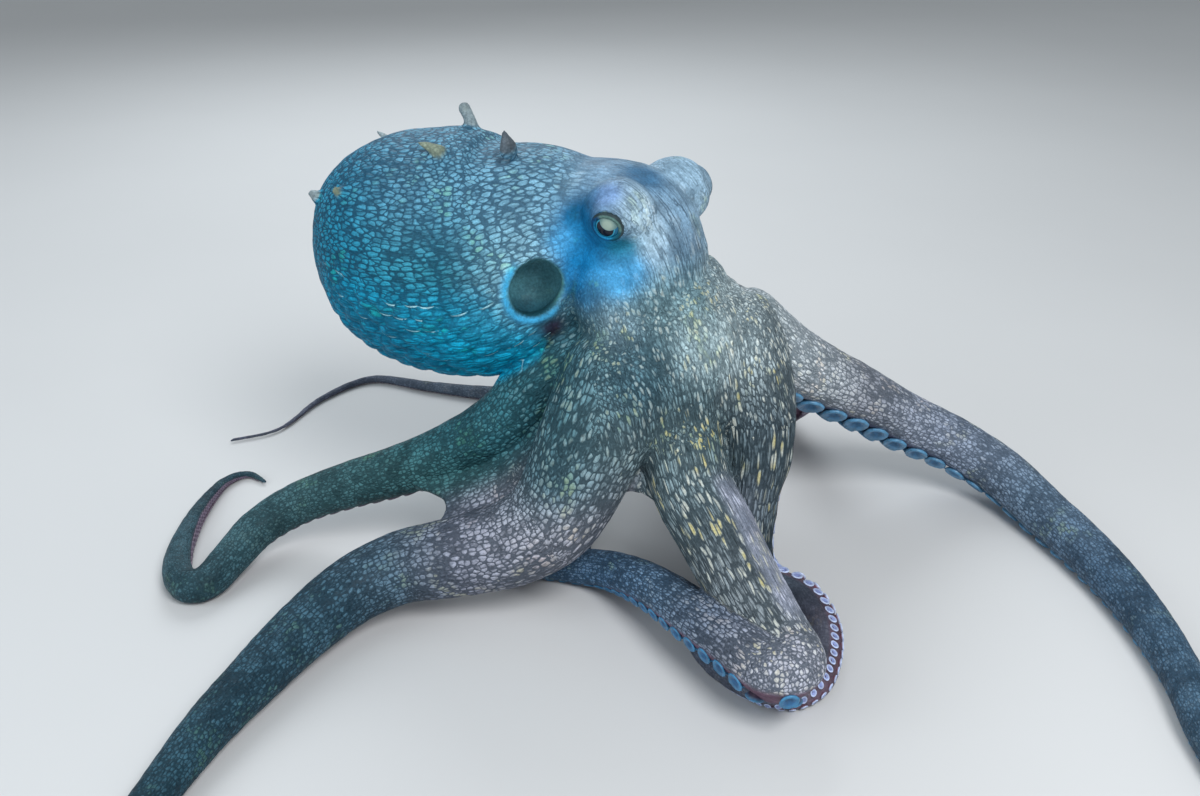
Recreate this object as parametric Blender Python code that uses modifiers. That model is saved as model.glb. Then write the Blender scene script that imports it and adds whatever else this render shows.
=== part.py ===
"""A common octopus resting on the floor, life size, as a still display model.

Metres, +Z up, the floor at z = 0. The values below are measured from a point on the
floor beside the mouth, and the finished animal is then moved so that its footprint's
box is centred on the origin. Its back faces -Y and +X, its mantle lies towards -X, and
the arms are named r1 to r4 and l1 to l4, from the back to the belly on each side.
"""

import math

import bmesh
import bpy
from mathutils import Matrix, Vector

FLESH_GAP = 0.0005  # clearance between neighbouring lengths of flesh
UNDERSIDE = 0.84  # height of an arm's centre line above its underside, in radii
ARM_SIDES = 10
TIP_RADIUS = 0.0013
RING_TURN = math.radians(22)  # most that an arm turns between two rings
RING_STEP = 0.032  # and the longest stretch between them
LENGTH_STEPS = 16  # curve samples between two waypoints
RIDGE = 0.18  # height of the two rows of suckers, in radii
GROOVE = 0.37  # depth of the groove between them

# Each arm: root radius, taper exponent, where each of its own lengths starts (metres
# from the root) and its waypoints (x, y, height of the underside, roll in degrees).
# Roll turns the sucker side from straight down towards the right of the arm's heading.
ARMS = {
    "r1": dict(root=0.0215, taper=0.75, cuts=(0.105, 0.270, 0.340, 0.400), route=[
        (0.026, 0.014, 0.112, 0), (0.033, -0.002, 0.084, 0), (0.038, -0.018, 0.066, 0),
        (0.044, -0.032, 0.050, 0), (0.053, -0.049, 0.040, 10), (0.065, -0.074, 0.026, 25),
        (0.075, -0.094, 0.017, 40), (0.081, -0.109, 0.014, 50), (0.073, -0.115, 0.014, 55),
        (0.060, -0.097, 0.014, 50), (0.044, -0.073, 0.013, 45), (0.026, -0.043, 0.010, 30),
        (0.007, -0.017, 0.004, 10), (-0.014, -0.004, 0, 0), (-0.036, 0.001, 0, 0),
        (-0.052, 0.016, 0, 0), (-0.049, 0.038, 0, 0), (-0.028, 0.047, 0, 0),
        (-0.009, 0.038, 0, 0), (-0.006, 0.020, 0, 0),
    ]),
    "l1": dict(root=0.0235, taper=1.3, cuts=(0.088, 0.160, 0.255, 0.305), route=[
        (0.052, 0.018, 0.122, 0), (0.066, 0.010, 0.104, 0), (0.073, 0.001, 0.081, 0),
        (0.074, -0.007, 0.060, -20), (0.071, -0.013, 0.034, -55), (0.072, -0.020, 0.010, -100),
        (0.082, -0.027, 0, -140), (0.093, -0.032, 0, -145), (0.100, -0.044, 0, -132),
        (0.103, -0.060, 0, -126), (0.101, -0.078, 0, -120), (0.094, -0.095, 0, -105),
        (0.081, -0.103, 0, -60), (0.066, -0.096, 0, -15), (0.052, -0.080, 0, 0),
        (0.044, -0.061, 0, 0), (0.044, -0.040, 0, 0), (0.047, -0.022, 0, 0),
        (0.037, -0.010, 0, 0), (0.026, -0.016, 0, 0),
    ]),
    "l2": dict(root=0.0210, taper=0.95, cuts=(0.120, 0.240, 0.350, 0.480), route=[
        (0.060, 0.030, 0.114, 0), (0.088, 0.047, 0.086, 0), (0.111, 0.062, 0.067, 8),
        (0.134, 0.073, 0.052, 15), (0.165, 0.085, 0.031, 18), (0.196, 0.087, 0.016, 18),
        (0.221, 0.071, 0.006, 14), (0.238, 0.036, 0, 8), (0.250, -0.006, 0, 0),
        (0.256, -0.046, 0, 0), (0.257, -0.090, 0, 0), (0.252, -0.134, 0, 0),
        (0.254, -0.178, 0, 0), (0.272, -0.214, 0, 0), (0.304, -0.226, 0, 0),
        (0.328, -0.206, 0, 0), (0.324, -0.180, 0, 0), (0.304, -0.176, 0, 0),
    ]),
    "l3": dict(root=0.0210, taper=1.1, cuts=(0.120, 0.220, 0.310, 0.390), route=[
        (0.050, 0.036, 0.112, 0), (0.076, 0.060, 0.090, 0), (0.101, 0.086, 0.068, 0),
        (0.114, 0.120, 0.036, 0), (0.110, 0.158, 0.008, 0), (0.098, 0.194, 0, 0),
        (0.086, 0.230, 0, 0), (0.082, 0.268, 0, 0), (0.090, 0.306, 0, 0),
        (0.074, 0.338, 0, 0), (0.044, 0.342, 0, 0), (0.026, 0.320, 0, 0),
        (0.036, 0.298, 0, 0), (0.054, 0.302, 0, 0),
    ]),
    "l4": dict(root=0.0210, taper=1.1, cuts=(0.120, 0.220, 0.320, 0.410), route=[
        (0.034, 0.036, 0.120, 0), (0.034, 0.070, 0.098, 0), (0.040, 0.106, 0.062, 0),
        (0.048, 0.142, 0.026, 0), (0.050, 0.180, 0.002, 0), (0.040, 0.216, 0, 0),
        (0.014, 0.240, 0, 0), (-0.020, 0.256, 0, 0), (-0.052, 0.276, 0, 0),
        (-0.082, 0.304, 0, 0), (-0.118, 0.314, 0, 0), (-0.144, 0.294, 0, 0),
        (-0.138, 0.268, 0, 0), (-0.116, 0.266, 0, 0),
    ]),
    "r4": dict(root=0.0200, taper=1.7, cuts=(0.115, 0.215, 0.320, 0.430), route=[
        (0.012, 0.028, 0.118, 0), (-0.016, 0.048, 0.090, 0), (-0.034, 0.078, 0.052, 0),
        (-0.034, 0.110, 0.018, 0), (-0.014, 0.136, 0, 0), (0.010, 0.154, 0, 0),
        (0.014, 0.184, 0, 0), (-0.012, 0.202, 0, 0), (-0.040, 0.200, 0, 0),
        (-0.072, 0.203, 0, 0), (-0.112, 0.215, 0, 0), (-0.152, 0.228, 0, 0),
        (-0.180, 0.200, 0, 0), (-0.198, 0.158, 0, 0), (-0.224, 0.143, 0, 0),
    ]),
    "r3": dict(root=0.0190, taper=0.85, cuts=(0.155, 0.235, 0.315, 0.370), route=[
        (0.016, 0.016, 0.114, 0), (-0.019, 0.013, 0.095, 0), (-0.048, 0.016, 0.065, 8),
        (-0.076, 0.022, 0.046, 12), (-0.102, 0.026, 0.034, 12), (-0.130, 0.030, 0.024, 12),
        (-0.156, 0.029, 0.015, 10), (-0.175, 0.018, 0.008, 5), (-0.185, 0.000, 0.003, 0),
        (-0.193, -0.018, 0, 0), (-0.202, -0.021, 0, 0), (-0.211, -0.008, 0, 10),
        (-0.216, 0.014, 0, 30), (-0.218, 0.042, 0, 50), (-0.217, 0.068, 0, 50),
        (-0.213, 0.090, 0, 40), (-0.203, 0.100, 0, 20), (-0.191, 0.092, 0, 0),
    ]),
    "r2": dict(root=0.0300, taper=1.5, cuts=(0.180, 0.280, 0.370, 0.460), route=[
        (0.020, 0.002, 0.106, 0), (0.000, -0.018, 0.072, 8), (-0.019, -0.026, 0.034, 14),
        (-0.038, -0.028, 0.020, 15), (-0.057, -0.029, 0.015, 15), (-0.076, -0.030, 0.012, 15),
        (-0.095, -0.032, 0.010, 14), (-0.117, -0.044, 0.006, 10), (-0.137, -0.070, 0.002, 5),
        (-0.152, -0.100, 0, 0), (-0.164, -0.130, 0, 0), (-0.174, -0.165, 0, 0),
        (-0.186, -0.202, 0, 0), (-0.210, -0.238, 0, 0), (-0.250, -0.254, 0, 0),
        (-0.286, -0.238, 0, 0), (-0.292, -0.208, 0, 0), (-0.270, -0.200, 0, 0),
    ]),
}

# The web between neighbouring arms: how far down each of the two it is attached, and
# the share of that depth by which its free edge curves in towards the crown.
WEBS = [
    ("r1", 0.070, "l1", 0.060, 0.35), ("l1", 0.075, "l2", 0.105, 0.30),
    ("l2", 0.125, "l3", 0.120, 0.30), ("l3", 0.125, "l4", 0.125, 0.30),
    ("l4", 0.125, "r4", 0.120, 0.30), ("r4", 0.120, "r3", 0.130, 0.30),
    ("r3", 0.165, "r2", 0.190, 0.25), ("r2", 0.125, "r1", 0.100, 0.30),
]
WEB_THICKNESS = 0.007
WEB_ACROSS, WEB_DOWN = 8, 7  # faces between two arms, and from the crown to the edge

# Cross sections of the soft body, rear to front: (x, y, z), half width, half height.
MANTLE = [
    ((-0.1390, 0.074, 0.160), 0.010, 0.012), ((-0.1340, 0.073, 0.160), 0.024, 0.028),
    ((-0.1210, 0.069, 0.159), 0.038, 0.043), ((-0.1010, 0.062, 0.157), 0.049, 0.055),
    ((-0.0780, 0.054, 0.155), 0.054, 0.060), ((-0.0550, 0.045, 0.157), 0.053, 0.060),
    ((-0.0350, 0.037, 0.164), 0.046, 0.055), ((-0.0170, 0.030, 0.175), 0.036, 0.041),
    ((0.0020, 0.024, 0.182), 0.026, 0.026), ((0.0120, 0.020, 0.184), 0.016, 0.014),
]
HEAD = [
    ((-0.0240, 0.034, 0.180), 0.016, 0.016), ((-0.0140, 0.030, 0.182), 0.028, 0.024),
    ((0.0040, 0.023, 0.184), 0.029, 0.024), ((0.0160, 0.017, 0.180), 0.030, 0.026),
    ((0.0190, 0.014, 0.168), 0.032, 0.029), ((0.0200, 0.013, 0.152), 0.036, 0.031),
    ((0.0280, 0.013, 0.135), 0.040, 0.035), ((0.0340, 0.013, 0.116), 0.032, 0.030),
]
MOUTH_FLESH = [  # inside the ring of arms, top to bottom
    ((0.038, 0.012, 0.150), 0.030, 0.026), ((0.038, 0.012, 0.128), 0.040, 0.036),
    ((0.036, 0.014, 0.104), 0.042, 0.040), ((0.036, 0.016, 0.086), 0.036, 0.034),
    ((0.036, 0.018, 0.072), 0.022, 0.022),
]
BODY_SIDES = 20
LATERAL = Vector((0.6, 0.8, 0.0))  # from the right eye to the left one
FORWARD = Vector((0.8, -0.6, 0.0))

KNOB_MIDDLE = Vector((0.0215, 0.0155, 0.1905))  # between the mounds round the eyes
KNOB_SPACING = 0.043
KNOB_RADIUS = 0.0165
EYE_RADIUS = 0.0100
EYE_OUT = 0.0088  # from the mound's centre to the eyeball's
EYE_FORWARD = math.radians(20)  # how far each eye turns to the front
EYE_UP = math.radians(9)

OPENING_AT = Vector((-0.0300, 0.0000, 0.1565))
OPENING_RADII = (0.0130, 0.0125, 0.0145)
FUNNEL = [  # centre, radius, from inside the mantle out to its lip
    ((-0.0020, 0.052, 0.152), 0.012), ((-0.0080, 0.066, 0.146), 0.011),
    ((-0.0140, 0.084, 0.137), 0.009), ((-0.0180, 0.098, 0.128), 0.007),
]
# Horns on the mantle: share of its length, angle from the top towards the far side,
# height, base radius.
HORNS = [
    (0.49, 18, 0.0110, 0.0036), (0.60, 14, 0.0070, 0.0036),
    (0.43, -30, 0.0080, 0.0040), (0.26, 14, 0.0070, 0.0036),
]
HORN_PROFILE = [(-0.45, 1.3), (0.15, 1.0), (0.7, 0.75), (1.0, 0.4)]  # height, radius
HORN_SIDES = 6
HORN_LEAN = 0.5  # backwards, for each unit upwards

FOLDED = "arm_r1_1"  # folded so sharply that its two limbs press into one another
FOLD_RINGS = 24
FOLD_TRIANGLES = 500
BASE_RINGS = 10  # along each arm's base in the crown
BASE_SIDES = 16
CROWN_TRIANGLES = 1600
HEAD_TRIANGLES = 900
VOXEL = 0.0035
MELT_PASSES = 8
SHARP_ANGLE = math.radians(50)

COLOURS = {
    "skin": ((0.20, 0.24, 0.20), 0.55),
    "eye": ((0.75, 0.70, 0.45), 0.15),
    "funnel": ((0.35, 0.33, 0.30), 0.5),
}


def clear_scene():
    for obj in list(bpy.data.objects):
        bpy.data.objects.remove(obj, do_unlink=True)


def collection(name):
    made = bpy.data.collections.new(name)
    bpy.context.scene.collection.children.link(made)
    return made


def material(name):
    colour, roughness = COLOURS[name]
    made = bpy.data.materials.get(name)
    if made is None:
        made = bpy.data.materials.new(name)
        made.use_nodes = True
        shader = made.node_tree.nodes["Principled BSDF"]
        shader.inputs["Base Color"].default_value = (*colour, 1)
        shader.inputs["Roughness"].default_value = roughness
        made.diffuse_color = (*colour, 1)
    return made


def new_object(name, mesh, where):
    obj = bpy.data.objects.new(name, mesh)
    where.objects.link(obj)
    if where is helpers:
        obj.hide_render = True
        obj.display_type = "WIRE"
    return obj


def baked(obj, name, where):
    """The object's evaluated mesh as a new object, and the old one removed."""
    graph = bpy.context.evaluated_depsgraph_get()
    graph.update()
    mesh = bpy.data.meshes.new_from_object(obj.evaluated_get(graph))
    bpy.data.objects.remove(obj)
    return new_object(name, mesh, where)


def finish(obj, slot):
    obj.data.materials.clear()
    obj.data.materials.append(material(slot))
    obj.data.shade_smooth()
    obj.data.set_sharp_from_angle(angle=SHARP_ANGLE)


def smooth_curve(points, steps):
    """Points of a Catmull-Rom curve through the given ones, as Vectors of any size."""
    knots = [Vector(p) for p in points]
    knots = [2 * knots[0] - knots[1], *knots, 2 * knots[-1] - knots[-2]]
    curve = []
    for a, b, c, d in zip(knots, knots[1:], knots[2:], knots[3:]):
        for i in range(steps):
            t = i / steps
            curve.append(
                0.5 * (2 * b + (c - a) * t + (2 * a - 5 * b + 4 * c - d) * t**2
                       + (3 * b - a - 3 * c + d) * t**3)
            )
    return curve + [knots[-2]]


def sucker_side(angle):
    """An arm's reach in radii: two ridges of suckers with a groove between them."""
    under = max(0.0, math.cos(angle))
    return 1 + RIDGE * under**3 - GROOVE * under**12


class Arm:
    """An arm's centre line, with its radius and its frame at any distance along it."""

    def __init__(self, root, taper, cuts, route):
        self.root, self.taper, self.start = root, taper, cuts[0]
        curve = smooth_curve(route, LENGTH_STEPS)
        flat = [Vector((p[0], p[1], max(p[2], 0))) for p in curve]
        self.along = [0.0]
        for a, b in zip(flat, flat[1:]):
            self.along.append(self.along[-1] + (b - a).length)
        self.length = self.along[-1]
        self.cuts = (*cuts, self.length)
        self.rolls = [math.radians(p[3]) for p in curve]
        self.line = [
            p + Vector((0, 0, UNDERSIDE * self.radius(s)))
            for p, s in zip(flat, self.along)
        ]

    def radius(self, s):
        left = max(0.0, 1 - s / self.length)
        return TIP_RADIUS + (self.root - TIP_RADIUS) * left**self.taper

    def at(self, s):
        """The centre, the heading and the roll at a distance along the arm."""
        s = min(max(s, 0.0), self.length)
        i = 0
        while i < len(self.along) - 2 and self.along[i + 1] < s:
            i += 1
        share = (s - self.along[i]) / max(self.along[i + 1] - self.along[i], 1e-9)
        heading = self.line[min(i + 2, len(self.line) - 1)] - self.line[max(i - 1, 0)]
        centre = self.line[i].lerp(self.line[i + 1], share)
        roll = self.rolls[i] + (self.rolls[i + 1] - self.rolls[i]) * share
        return centre, heading.normalized(), roll

    def ring(self, s, sides=ARM_SIDES, grow=0.0):
        """One cross section: round above, flatter on the side with the suckers."""
        centre, heading, roll = self.at(s)
        right = heading.cross(Vector((0, 0, 1))).normalized()
        above = right.cross(heading).normalized()
        down = -above * math.cos(roll) + right * math.sin(roll)
        across = right * math.cos(roll) + above * math.sin(roll)
        points = []
        for i in range(sides):
            angle = 2 * math.pi * i / sides
            reach = self.radius(s) * sucker_side(angle) + grow
            points.append(
                centre + down * reach * math.cos(angle) + across * reach * math.sin(angle)
            )
        return points

    def stations(self, first, last):
        """Distances for rings between two ends, closer together where the arm bends."""
        found = [first]
        probe = 0.002
        s = first
        turned = 0.0
        while s + probe < last:
            turned += self.at(s)[1].angle(self.at(s + probe)[1], 0.0)
            s += probe
            if turned > RING_TURN or s - found[-1] > RING_STEP:
                found.append(s)
                turned = 0.0
        if last - found[-1] < 0.004 and len(found) > 1:
            found.pop()
        return found + [last]


def skinned(name, rings, where):
    """A closed tube through the rings, with flat ends."""
    bm = bmesh.new()
    loops = [[bm.verts.new(p) for p in ring] for ring in rings]
    for a, b in zip(loops, loops[1:]):
        for i in range(len(a)):
            j = (i + 1) % len(a)
            bm.faces.new((a[i], a[j], b[j], b[i]))
    bm.faces.new(loops[0])
    bm.faces.new(loops[-1])
    bmesh.ops.recalc_face_normals(bm, faces=bm.faces)
    mesh = bpy.data.meshes.new(name)
    bm.to_mesh(mesh)
    bm.free()
    return new_object(name, mesh, where)


def keep_above_floor(obj):
    """Takes off what is below z = 0, which leaves the small flats the animal rests on."""
    bm = bmesh.new()
    bm.from_mesh(obj.data)
    bmesh.ops.bisect_plane(
        bm, geom=bm.verts[:] + bm.edges[:] + bm.faces[:], dist=1e-6,
        plane_co=(0, 0, 0), plane_no=(0, 0, 1), clear_inner=True,
    )
    edges = [e for e in bm.edges if e.is_boundary]
    if edges:
        bmesh.ops.holes_fill(bm, edges=edges, sides=0)
    bmesh.ops.recalc_face_normals(bm, faces=bm.faces)
    bm.to_mesh(obj.data)
    bm.free()


def even_rings(arm, first, last, steps, sides):
    return [arm.ring(first + (last - first) * i / steps, sides) for i in range(steps + 1)]


def arm_lengths(name, arm):
    for i, (first, last) in enumerate(zip(arm.cuts, arm.cuts[1:])):
        if last < arm.length:
            last -= FLESH_GAP
        node = f"arm_{name}_{i + 1}"
        if node == FOLDED:
            rings = even_rings(arm, first, last, FOLD_RINGS, ARM_SIDES)
            obj = melted(node, [skinned("fold", rings, helpers)], FOLD_TRIANGLES, parts)
        else:
            rings = [arm.ring(s) for s in arm.stations(first, last)]
            obj = skinned(node, rings, parts)
        keep_above_floor(obj)
        finish(obj, "skin")


def web(first, first_depth, second, second_depth, curve_in):
    """A sheet of skin between two arms, with a free edge that curves in."""
    bm = bmesh.new()
    grid = []
    for i in range(WEB_ACROSS + 1):
        u = i / WEB_ACROSS
        share = 1 - curve_in * math.sin(math.pi * u)
        row = []
        for j in range(WEB_DOWN + 1):
            v = j / WEB_DOWN * share
            a = first.at(first_depth * v)[0]
            b = second.at(second_depth * v)[0]
            row.append(bm.verts.new(a.lerp(b, u)))
        grid.append(row)
    for a, b in zip(grid, grid[1:]):
        for j in range(WEB_DOWN):
            bm.faces.new((a[j], b[j], b[j + 1], a[j + 1]))
    mesh = bpy.data.meshes.new("web")
    bm.to_mesh(mesh)
    bm.free()
    obj = new_object("web", mesh, helpers)
    wall = obj.modifiers.new("Thickness", "SOLIDIFY")
    wall.thickness = WEB_THICKNESS
    wall.offset = 0
    return baked(obj, "web", helpers)


def lofted(name, sections, where, side=None):
    """A closed body through elliptical sections square to its own centre line."""
    centres = [Vector(c) for c, *_ in sections]
    rings = []
    for i, (centre, wide, high) in enumerate(sections):
        heading = centres[min(i + 1, len(centres) - 1)] - centres[max(i - 1, 0)]
        right = side or heading.cross(Vector((0, 0, 1)))
        right = (right - right.project(heading)).normalized()
        above = right.cross(heading).normalized()
        rings.append([
            centres[i] + right * wide * math.cos(2 * math.pi * k / BODY_SIDES)
            + above * high * math.sin(2 * math.pi * k / BODY_SIDES)
            for k in range(BODY_SIDES)
        ])
    return skinned(name, rings, where)


def ball(name, centre, radius, where, segments=16, rings=10):
    bm = bmesh.new()
    bmesh.ops.create_uvsphere(bm, u_segments=segments, v_segments=rings, radius=radius)
    bmesh.ops.translate(bm, verts=bm.verts, vec=centre)
    mesh = bpy.data.meshes.new(name)
    bm.to_mesh(mesh)
    bm.free()
    return new_object(name, mesh, where)


def melted(name, pieces, triangles, where):
    """Overlapping pieces made one smooth skin with about so many triangles."""
    bm = bmesh.new()
    for piece in pieces:
        bm.from_mesh(piece.data)
        bpy.data.objects.remove(piece)
    mesh = bpy.data.meshes.new(name)
    bm.to_mesh(mesh)
    bm.free()
    obj = new_object("melting", mesh, helpers)
    remesh = obj.modifiers.new("Remesh", "REMESH")
    remesh.mode = "VOXEL"
    remesh.voxel_size = VOXEL
    smooth = obj.modifiers.new("Smooth", "SMOOTH")
    smooth.factor = 0.5
    smooth.iterations = MELT_PASSES
    obj = baked(obj, "melting", helpers)
    obj.data.calc_loop_triangles()
    thin = obj.modifiers.new("Decimate", "DECIMATE")
    thin.ratio = min(1.0, triangles / len(obj.data.loop_triangles))
    return baked(obj, name, where)


def swollen(obj, by=FLESH_GAP):
    """A helper copy pushed out along its normals, for cutting a neighbour with a gap."""
    copy = new_object(obj.name + "_swollen", obj.data.copy(), helpers)
    push = copy.modifiers.new("Push", "DISPLACE")
    push.mid_level = 0
    push.strength = by
    return baked(copy, obj.name + "_swollen", helpers)


def boolean(obj, other, operation):
    cut = obj.modifiers.new(operation.title(), "BOOLEAN")
    cut.operation = operation
    cut.object = other
    name, where = obj.name, obj.users_collection[0]
    obj.name = "before_" + name
    return baked(obj, name, where)


def largest_body(obj):
    """Drops loose crumbs that a cut can leave beside the main body."""
    bm = bmesh.new()
    bm.from_mesh(obj.data)
    left, bodies = set(bm.verts), []
    while left:
        stack, body = [left.pop()], set()
        while stack:
            vert = stack.pop()
            body.add(vert)
            for edge in vert.link_edges:
                other = edge.other_vert(vert)
                if other in left:
                    left.discard(other)
                    stack.append(other)
        bodies.append(body)
    bodies.sort(key=len)
    bmesh.ops.delete(bm, geom=[v for b in bodies[:-1] for v in b], context="VERTS")
    bm.to_mesh(obj.data)
    bm.free()


def knob_centre(side):
    return KNOB_MIDDLE + LATERAL * side * KNOB_SPACING / 2


def eye_axis(side):
    level = LATERAL * side * math.cos(EYE_FORWARD) + FORWARD * math.sin(EYE_FORWARD)
    return level * math.cos(EYE_UP) + Vector((0, 0, math.sin(EYE_UP)))


def make_eyes():
    eyes = {}
    for name, side in (("eye_right", -1), ("eye_left", 1)):
        centre = knob_centre(side) + eye_axis(side) * EYE_OUT
        eyes[name] = ball(name, centre, EYE_RADIUS, parts, 14, 9)
        finish(eyes[name], "eye")
    return eyes


def head_body():
    pieces = [lofted("head_loft", HEAD, helpers, LATERAL)]
    for side in (-1, 1):
        pieces.append(ball("knob", knob_centre(side), KNOB_RADIUS, helpers))
    return melted("head", pieces, HEAD_TRIANGLES, parts)


def crown_body(arms):
    """The arms' bases, the web between them and the flesh round the mouth, in one."""
    pieces = []
    for name, arm in arms.items():
        rings = even_rings(arm, 0, arm.start - FLESH_GAP, BASE_RINGS, BASE_SIDES)
        pieces.append(skinned("base", rings, helpers))
    for first, first_depth, second, second_depth, curve_in in WEBS:
        pieces.append(
            web(arms[first], first_depth, arms[second], second_depth, curve_in)
        )
    pieces.append(lofted("mouth_flesh", MOUTH_FLESH, helpers, LATERAL))
    return melted("crown", pieces, CROWN_TRIANGLES, parts)


def add_horns(body):
    """Skin horns stood on the mantle's upper side, each leaning a little to the rear."""
    centres = [Vector(c) for c, *_ in MANTLE]
    axis = (centres[0] - centres[-1]).normalized()
    up = Vector((0, 0, 1))
    far = axis.cross(up).normalized()
    for share, angle, height, base in HORNS:
        place = share * (len(MANTLE) - 1)
        i = int(place)
        centre = centres[i].lerp(centres[i + 1], place - i)
        wide, high = (a + (b - a) * (place - i) for a, b in zip(MANTLE[i][1:], MANTLE[i + 1][1:]))
        turn = math.radians(angle)
        foot = centre + up * high * math.cos(turn) + far * wide * math.sin(turn)
        lean = (up * math.cos(turn) + far * math.sin(turn) + axis * HORN_LEAN).normalized()
        side = lean.cross(far).normalized()
        rings = []
        for along, thick in HORN_PROFILE:
            ring = []
            for k in range(HORN_SIDES):
                around = 2 * math.pi * k / HORN_SIDES
                out = far * math.cos(around) + side * math.sin(around)
                ring.append(foot + lean * height * along + out * base * thick)
            rings.append(ring)
        horn = skinned("horn", rings, helpers)
        body = boolean(body, horn, "UNION")
        bpy.data.objects.remove(horn)
    return body


def make_mantle(cutters):
    body = add_horns(lofted("mantle", MANTLE, parts))
    pocket = ball("pocket", Vector((0, 0, 0)), 1.0, helpers)
    for vert in pocket.data.vertices:
        vert.co = OPENING_AT + Vector(a * b for a, b in zip(vert.co, OPENING_RADII))
    for cutter in [pocket, *cutters]:
        body = boolean(body, cutter, "DIFFERENCE")
    bpy.data.objects.remove(pocket)
    largest_body(body)
    return body


def make_funnel(cutters):
    sections = [(centre, radius, radius) for centre, radius in FUNNEL]
    body = lofted("funnel", sections, parts, Vector((1, 0, 0)))
    for cutter in cutters:
        body = boolean(body, cutter, "DIFFERENCE")
    largest_body(body)
    return body


def centre_on_origin():
    """Moves every part alike, so that the footprint's box is centred on the origin."""
    points = [v.co for obj in parts.objects for v in obj.data.vertices]
    middle = [(min(p[i] for p in points) + max(p[i] for p in points)) / 2 for i in (0, 1)]
    move = Matrix.Translation((-middle[0], -middle[1], 0))
    for obj in parts.objects:
        obj.data.transform(move)
    print("moved by", round(-middle[0], 4), round(-middle[1], 4))


def build():
    arms = {name: Arm(**values) for name, values in ARMS.items()}
    eyes = make_eyes()
    head = head_body()
    head_cutter = swollen(head)
    for eye in eyes.values():
        cutter = swollen(eye)
        head = boolean(head, cutter, "DIFFERENCE")
        bpy.data.objects.remove(cutter)
    finish(head, "skin")

    crown = crown_body(arms)
    crown_cutter = swollen(crown)
    crown = boolean(crown, head_cutter, "DIFFERENCE")
    for name, arm in arms.items():
        arm_lengths(name, arm)
        rings = [
            arm.ring(s, grow=FLESH_GAP)
            for s in arm.stations(arm.start - FLESH_GAP, arm.length)
        ]
        cutter = skinned("arm_cutter", rings, helpers)
        crown = boolean(crown, cutter, "DIFFERENCE")
        bpy.data.objects.remove(cutter)
    largest_body(crown)
    keep_above_floor(crown)
    finish(crown, "skin")

    mantle = make_mantle([head_cutter, crown_cutter])
    finish(mantle, "skin")
    mantle_cutter = swollen(mantle)
    finish(make_funnel([head_cutter, crown_cutter, mantle_cutter]), "funnel")
    for cutter in (head_cutter, crown_cutter, mantle_cutter):
        bpy.data.objects.remove(cutter)
    centre_on_origin()
    for name, arm in arms.items():
        print(name, "arm length", round(arm.length, 3))


clear_scene()
parts = collection("octopus")
helpers = collection("helpers")
build()
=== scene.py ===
import math

import bpy
import numpy as np
from mathutils import Matrix, Vector
from mathutils.noise import noise as perlin


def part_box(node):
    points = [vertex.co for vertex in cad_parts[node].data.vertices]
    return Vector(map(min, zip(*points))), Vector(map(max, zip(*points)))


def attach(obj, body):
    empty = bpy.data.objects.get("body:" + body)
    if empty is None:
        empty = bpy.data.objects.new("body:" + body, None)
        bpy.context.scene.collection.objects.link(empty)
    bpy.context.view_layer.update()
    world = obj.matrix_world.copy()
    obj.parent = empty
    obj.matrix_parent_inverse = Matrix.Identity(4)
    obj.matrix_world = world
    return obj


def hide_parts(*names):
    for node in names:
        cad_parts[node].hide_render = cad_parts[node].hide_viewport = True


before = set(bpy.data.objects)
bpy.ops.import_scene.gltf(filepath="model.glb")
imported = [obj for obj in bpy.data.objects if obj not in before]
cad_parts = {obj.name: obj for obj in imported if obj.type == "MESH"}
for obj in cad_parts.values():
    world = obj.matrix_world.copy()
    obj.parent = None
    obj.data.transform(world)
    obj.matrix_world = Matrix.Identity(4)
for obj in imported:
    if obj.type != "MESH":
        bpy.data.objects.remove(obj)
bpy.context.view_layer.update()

# The values below are measured from a point on the floor beside the mouth, as in the
# part's own source, and "home" is where that point lies in the frame. A row of a table
# of sections is x, y, z, half width and half height in millimetres. The rest is in metres.
up = Vector((0, 0, 1))
toLeft = Vector((0.6, 0.8, 0))  # from the right eye to the left one
toFront = Vector((0.8, -0.6, 0))  # the way the head faces

headShape = {
    "sections": [
        (-24, 34, 180, 16, 16), (-14, 30, 182, 28, 24), (4, 23, 184, 29, 24), (16, 17, 180, 30, 26),
        (19, 14, 168, 32, 29), (20, 13, 152, 36, 31), (28, 13, 135, 40, 35), (34, 13, 116, 32, 30),
    ],
    "moundMiddle": Vector((0.0215, 0.0155, 0.1905)),
    "moundSpacing": 0.043,
    "moundRadius": 0.0165,
}
eyeShape = {
    "radius": 0.0100,
    "out": 0.0088,  # from the mound's centre to the eyeball's
    "forward": math.radians(20),
    "up": math.radians(9),
    "gazeForward": math.radians(15),
    "gazeUp": math.radians(-11),
    "segments": 72,
    "rings": 48,
}


def moundCentre(side):
    return headShape["moundMiddle"] + toLeft * side * headShape["moundSpacing"] / 2


def outwards(side, forward, above):
    level = toLeft * side * math.cos(forward) + toFront * math.sin(forward)
    return level * math.cos(above) + up * math.sin(above)


def eyeCentre(side):
    return moundCentre(side) + outwards(side, eyeShape["forward"], eyeShape["up"]) * eyeShape["out"]


def gazeAxis(side):
    return outwards(side, eyeShape["gazeForward"], eyeShape["gazeUp"])


def eyeTurn(side):
    # rows: towards the front of the head, up, and out along the gaze
    axis = gazeAxis(side)
    front = up.cross(axis).normalized() * -side
    above = up - axis * up.dot(axis)
    return np.array([front, above.normalized(), axis])


low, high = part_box("eye_right")
home = (low + high) / 2 - eyeCentre(-1)
print("frame loaded, home at", [round(v, 4) for v in home])


def deselect():
    bpy.ops.object.select_all(action="DESELECT")


def selectOnly(obj):
    deselect()
    obj.select_set(True)
    bpy.context.view_layer.objects.active = obj


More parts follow.
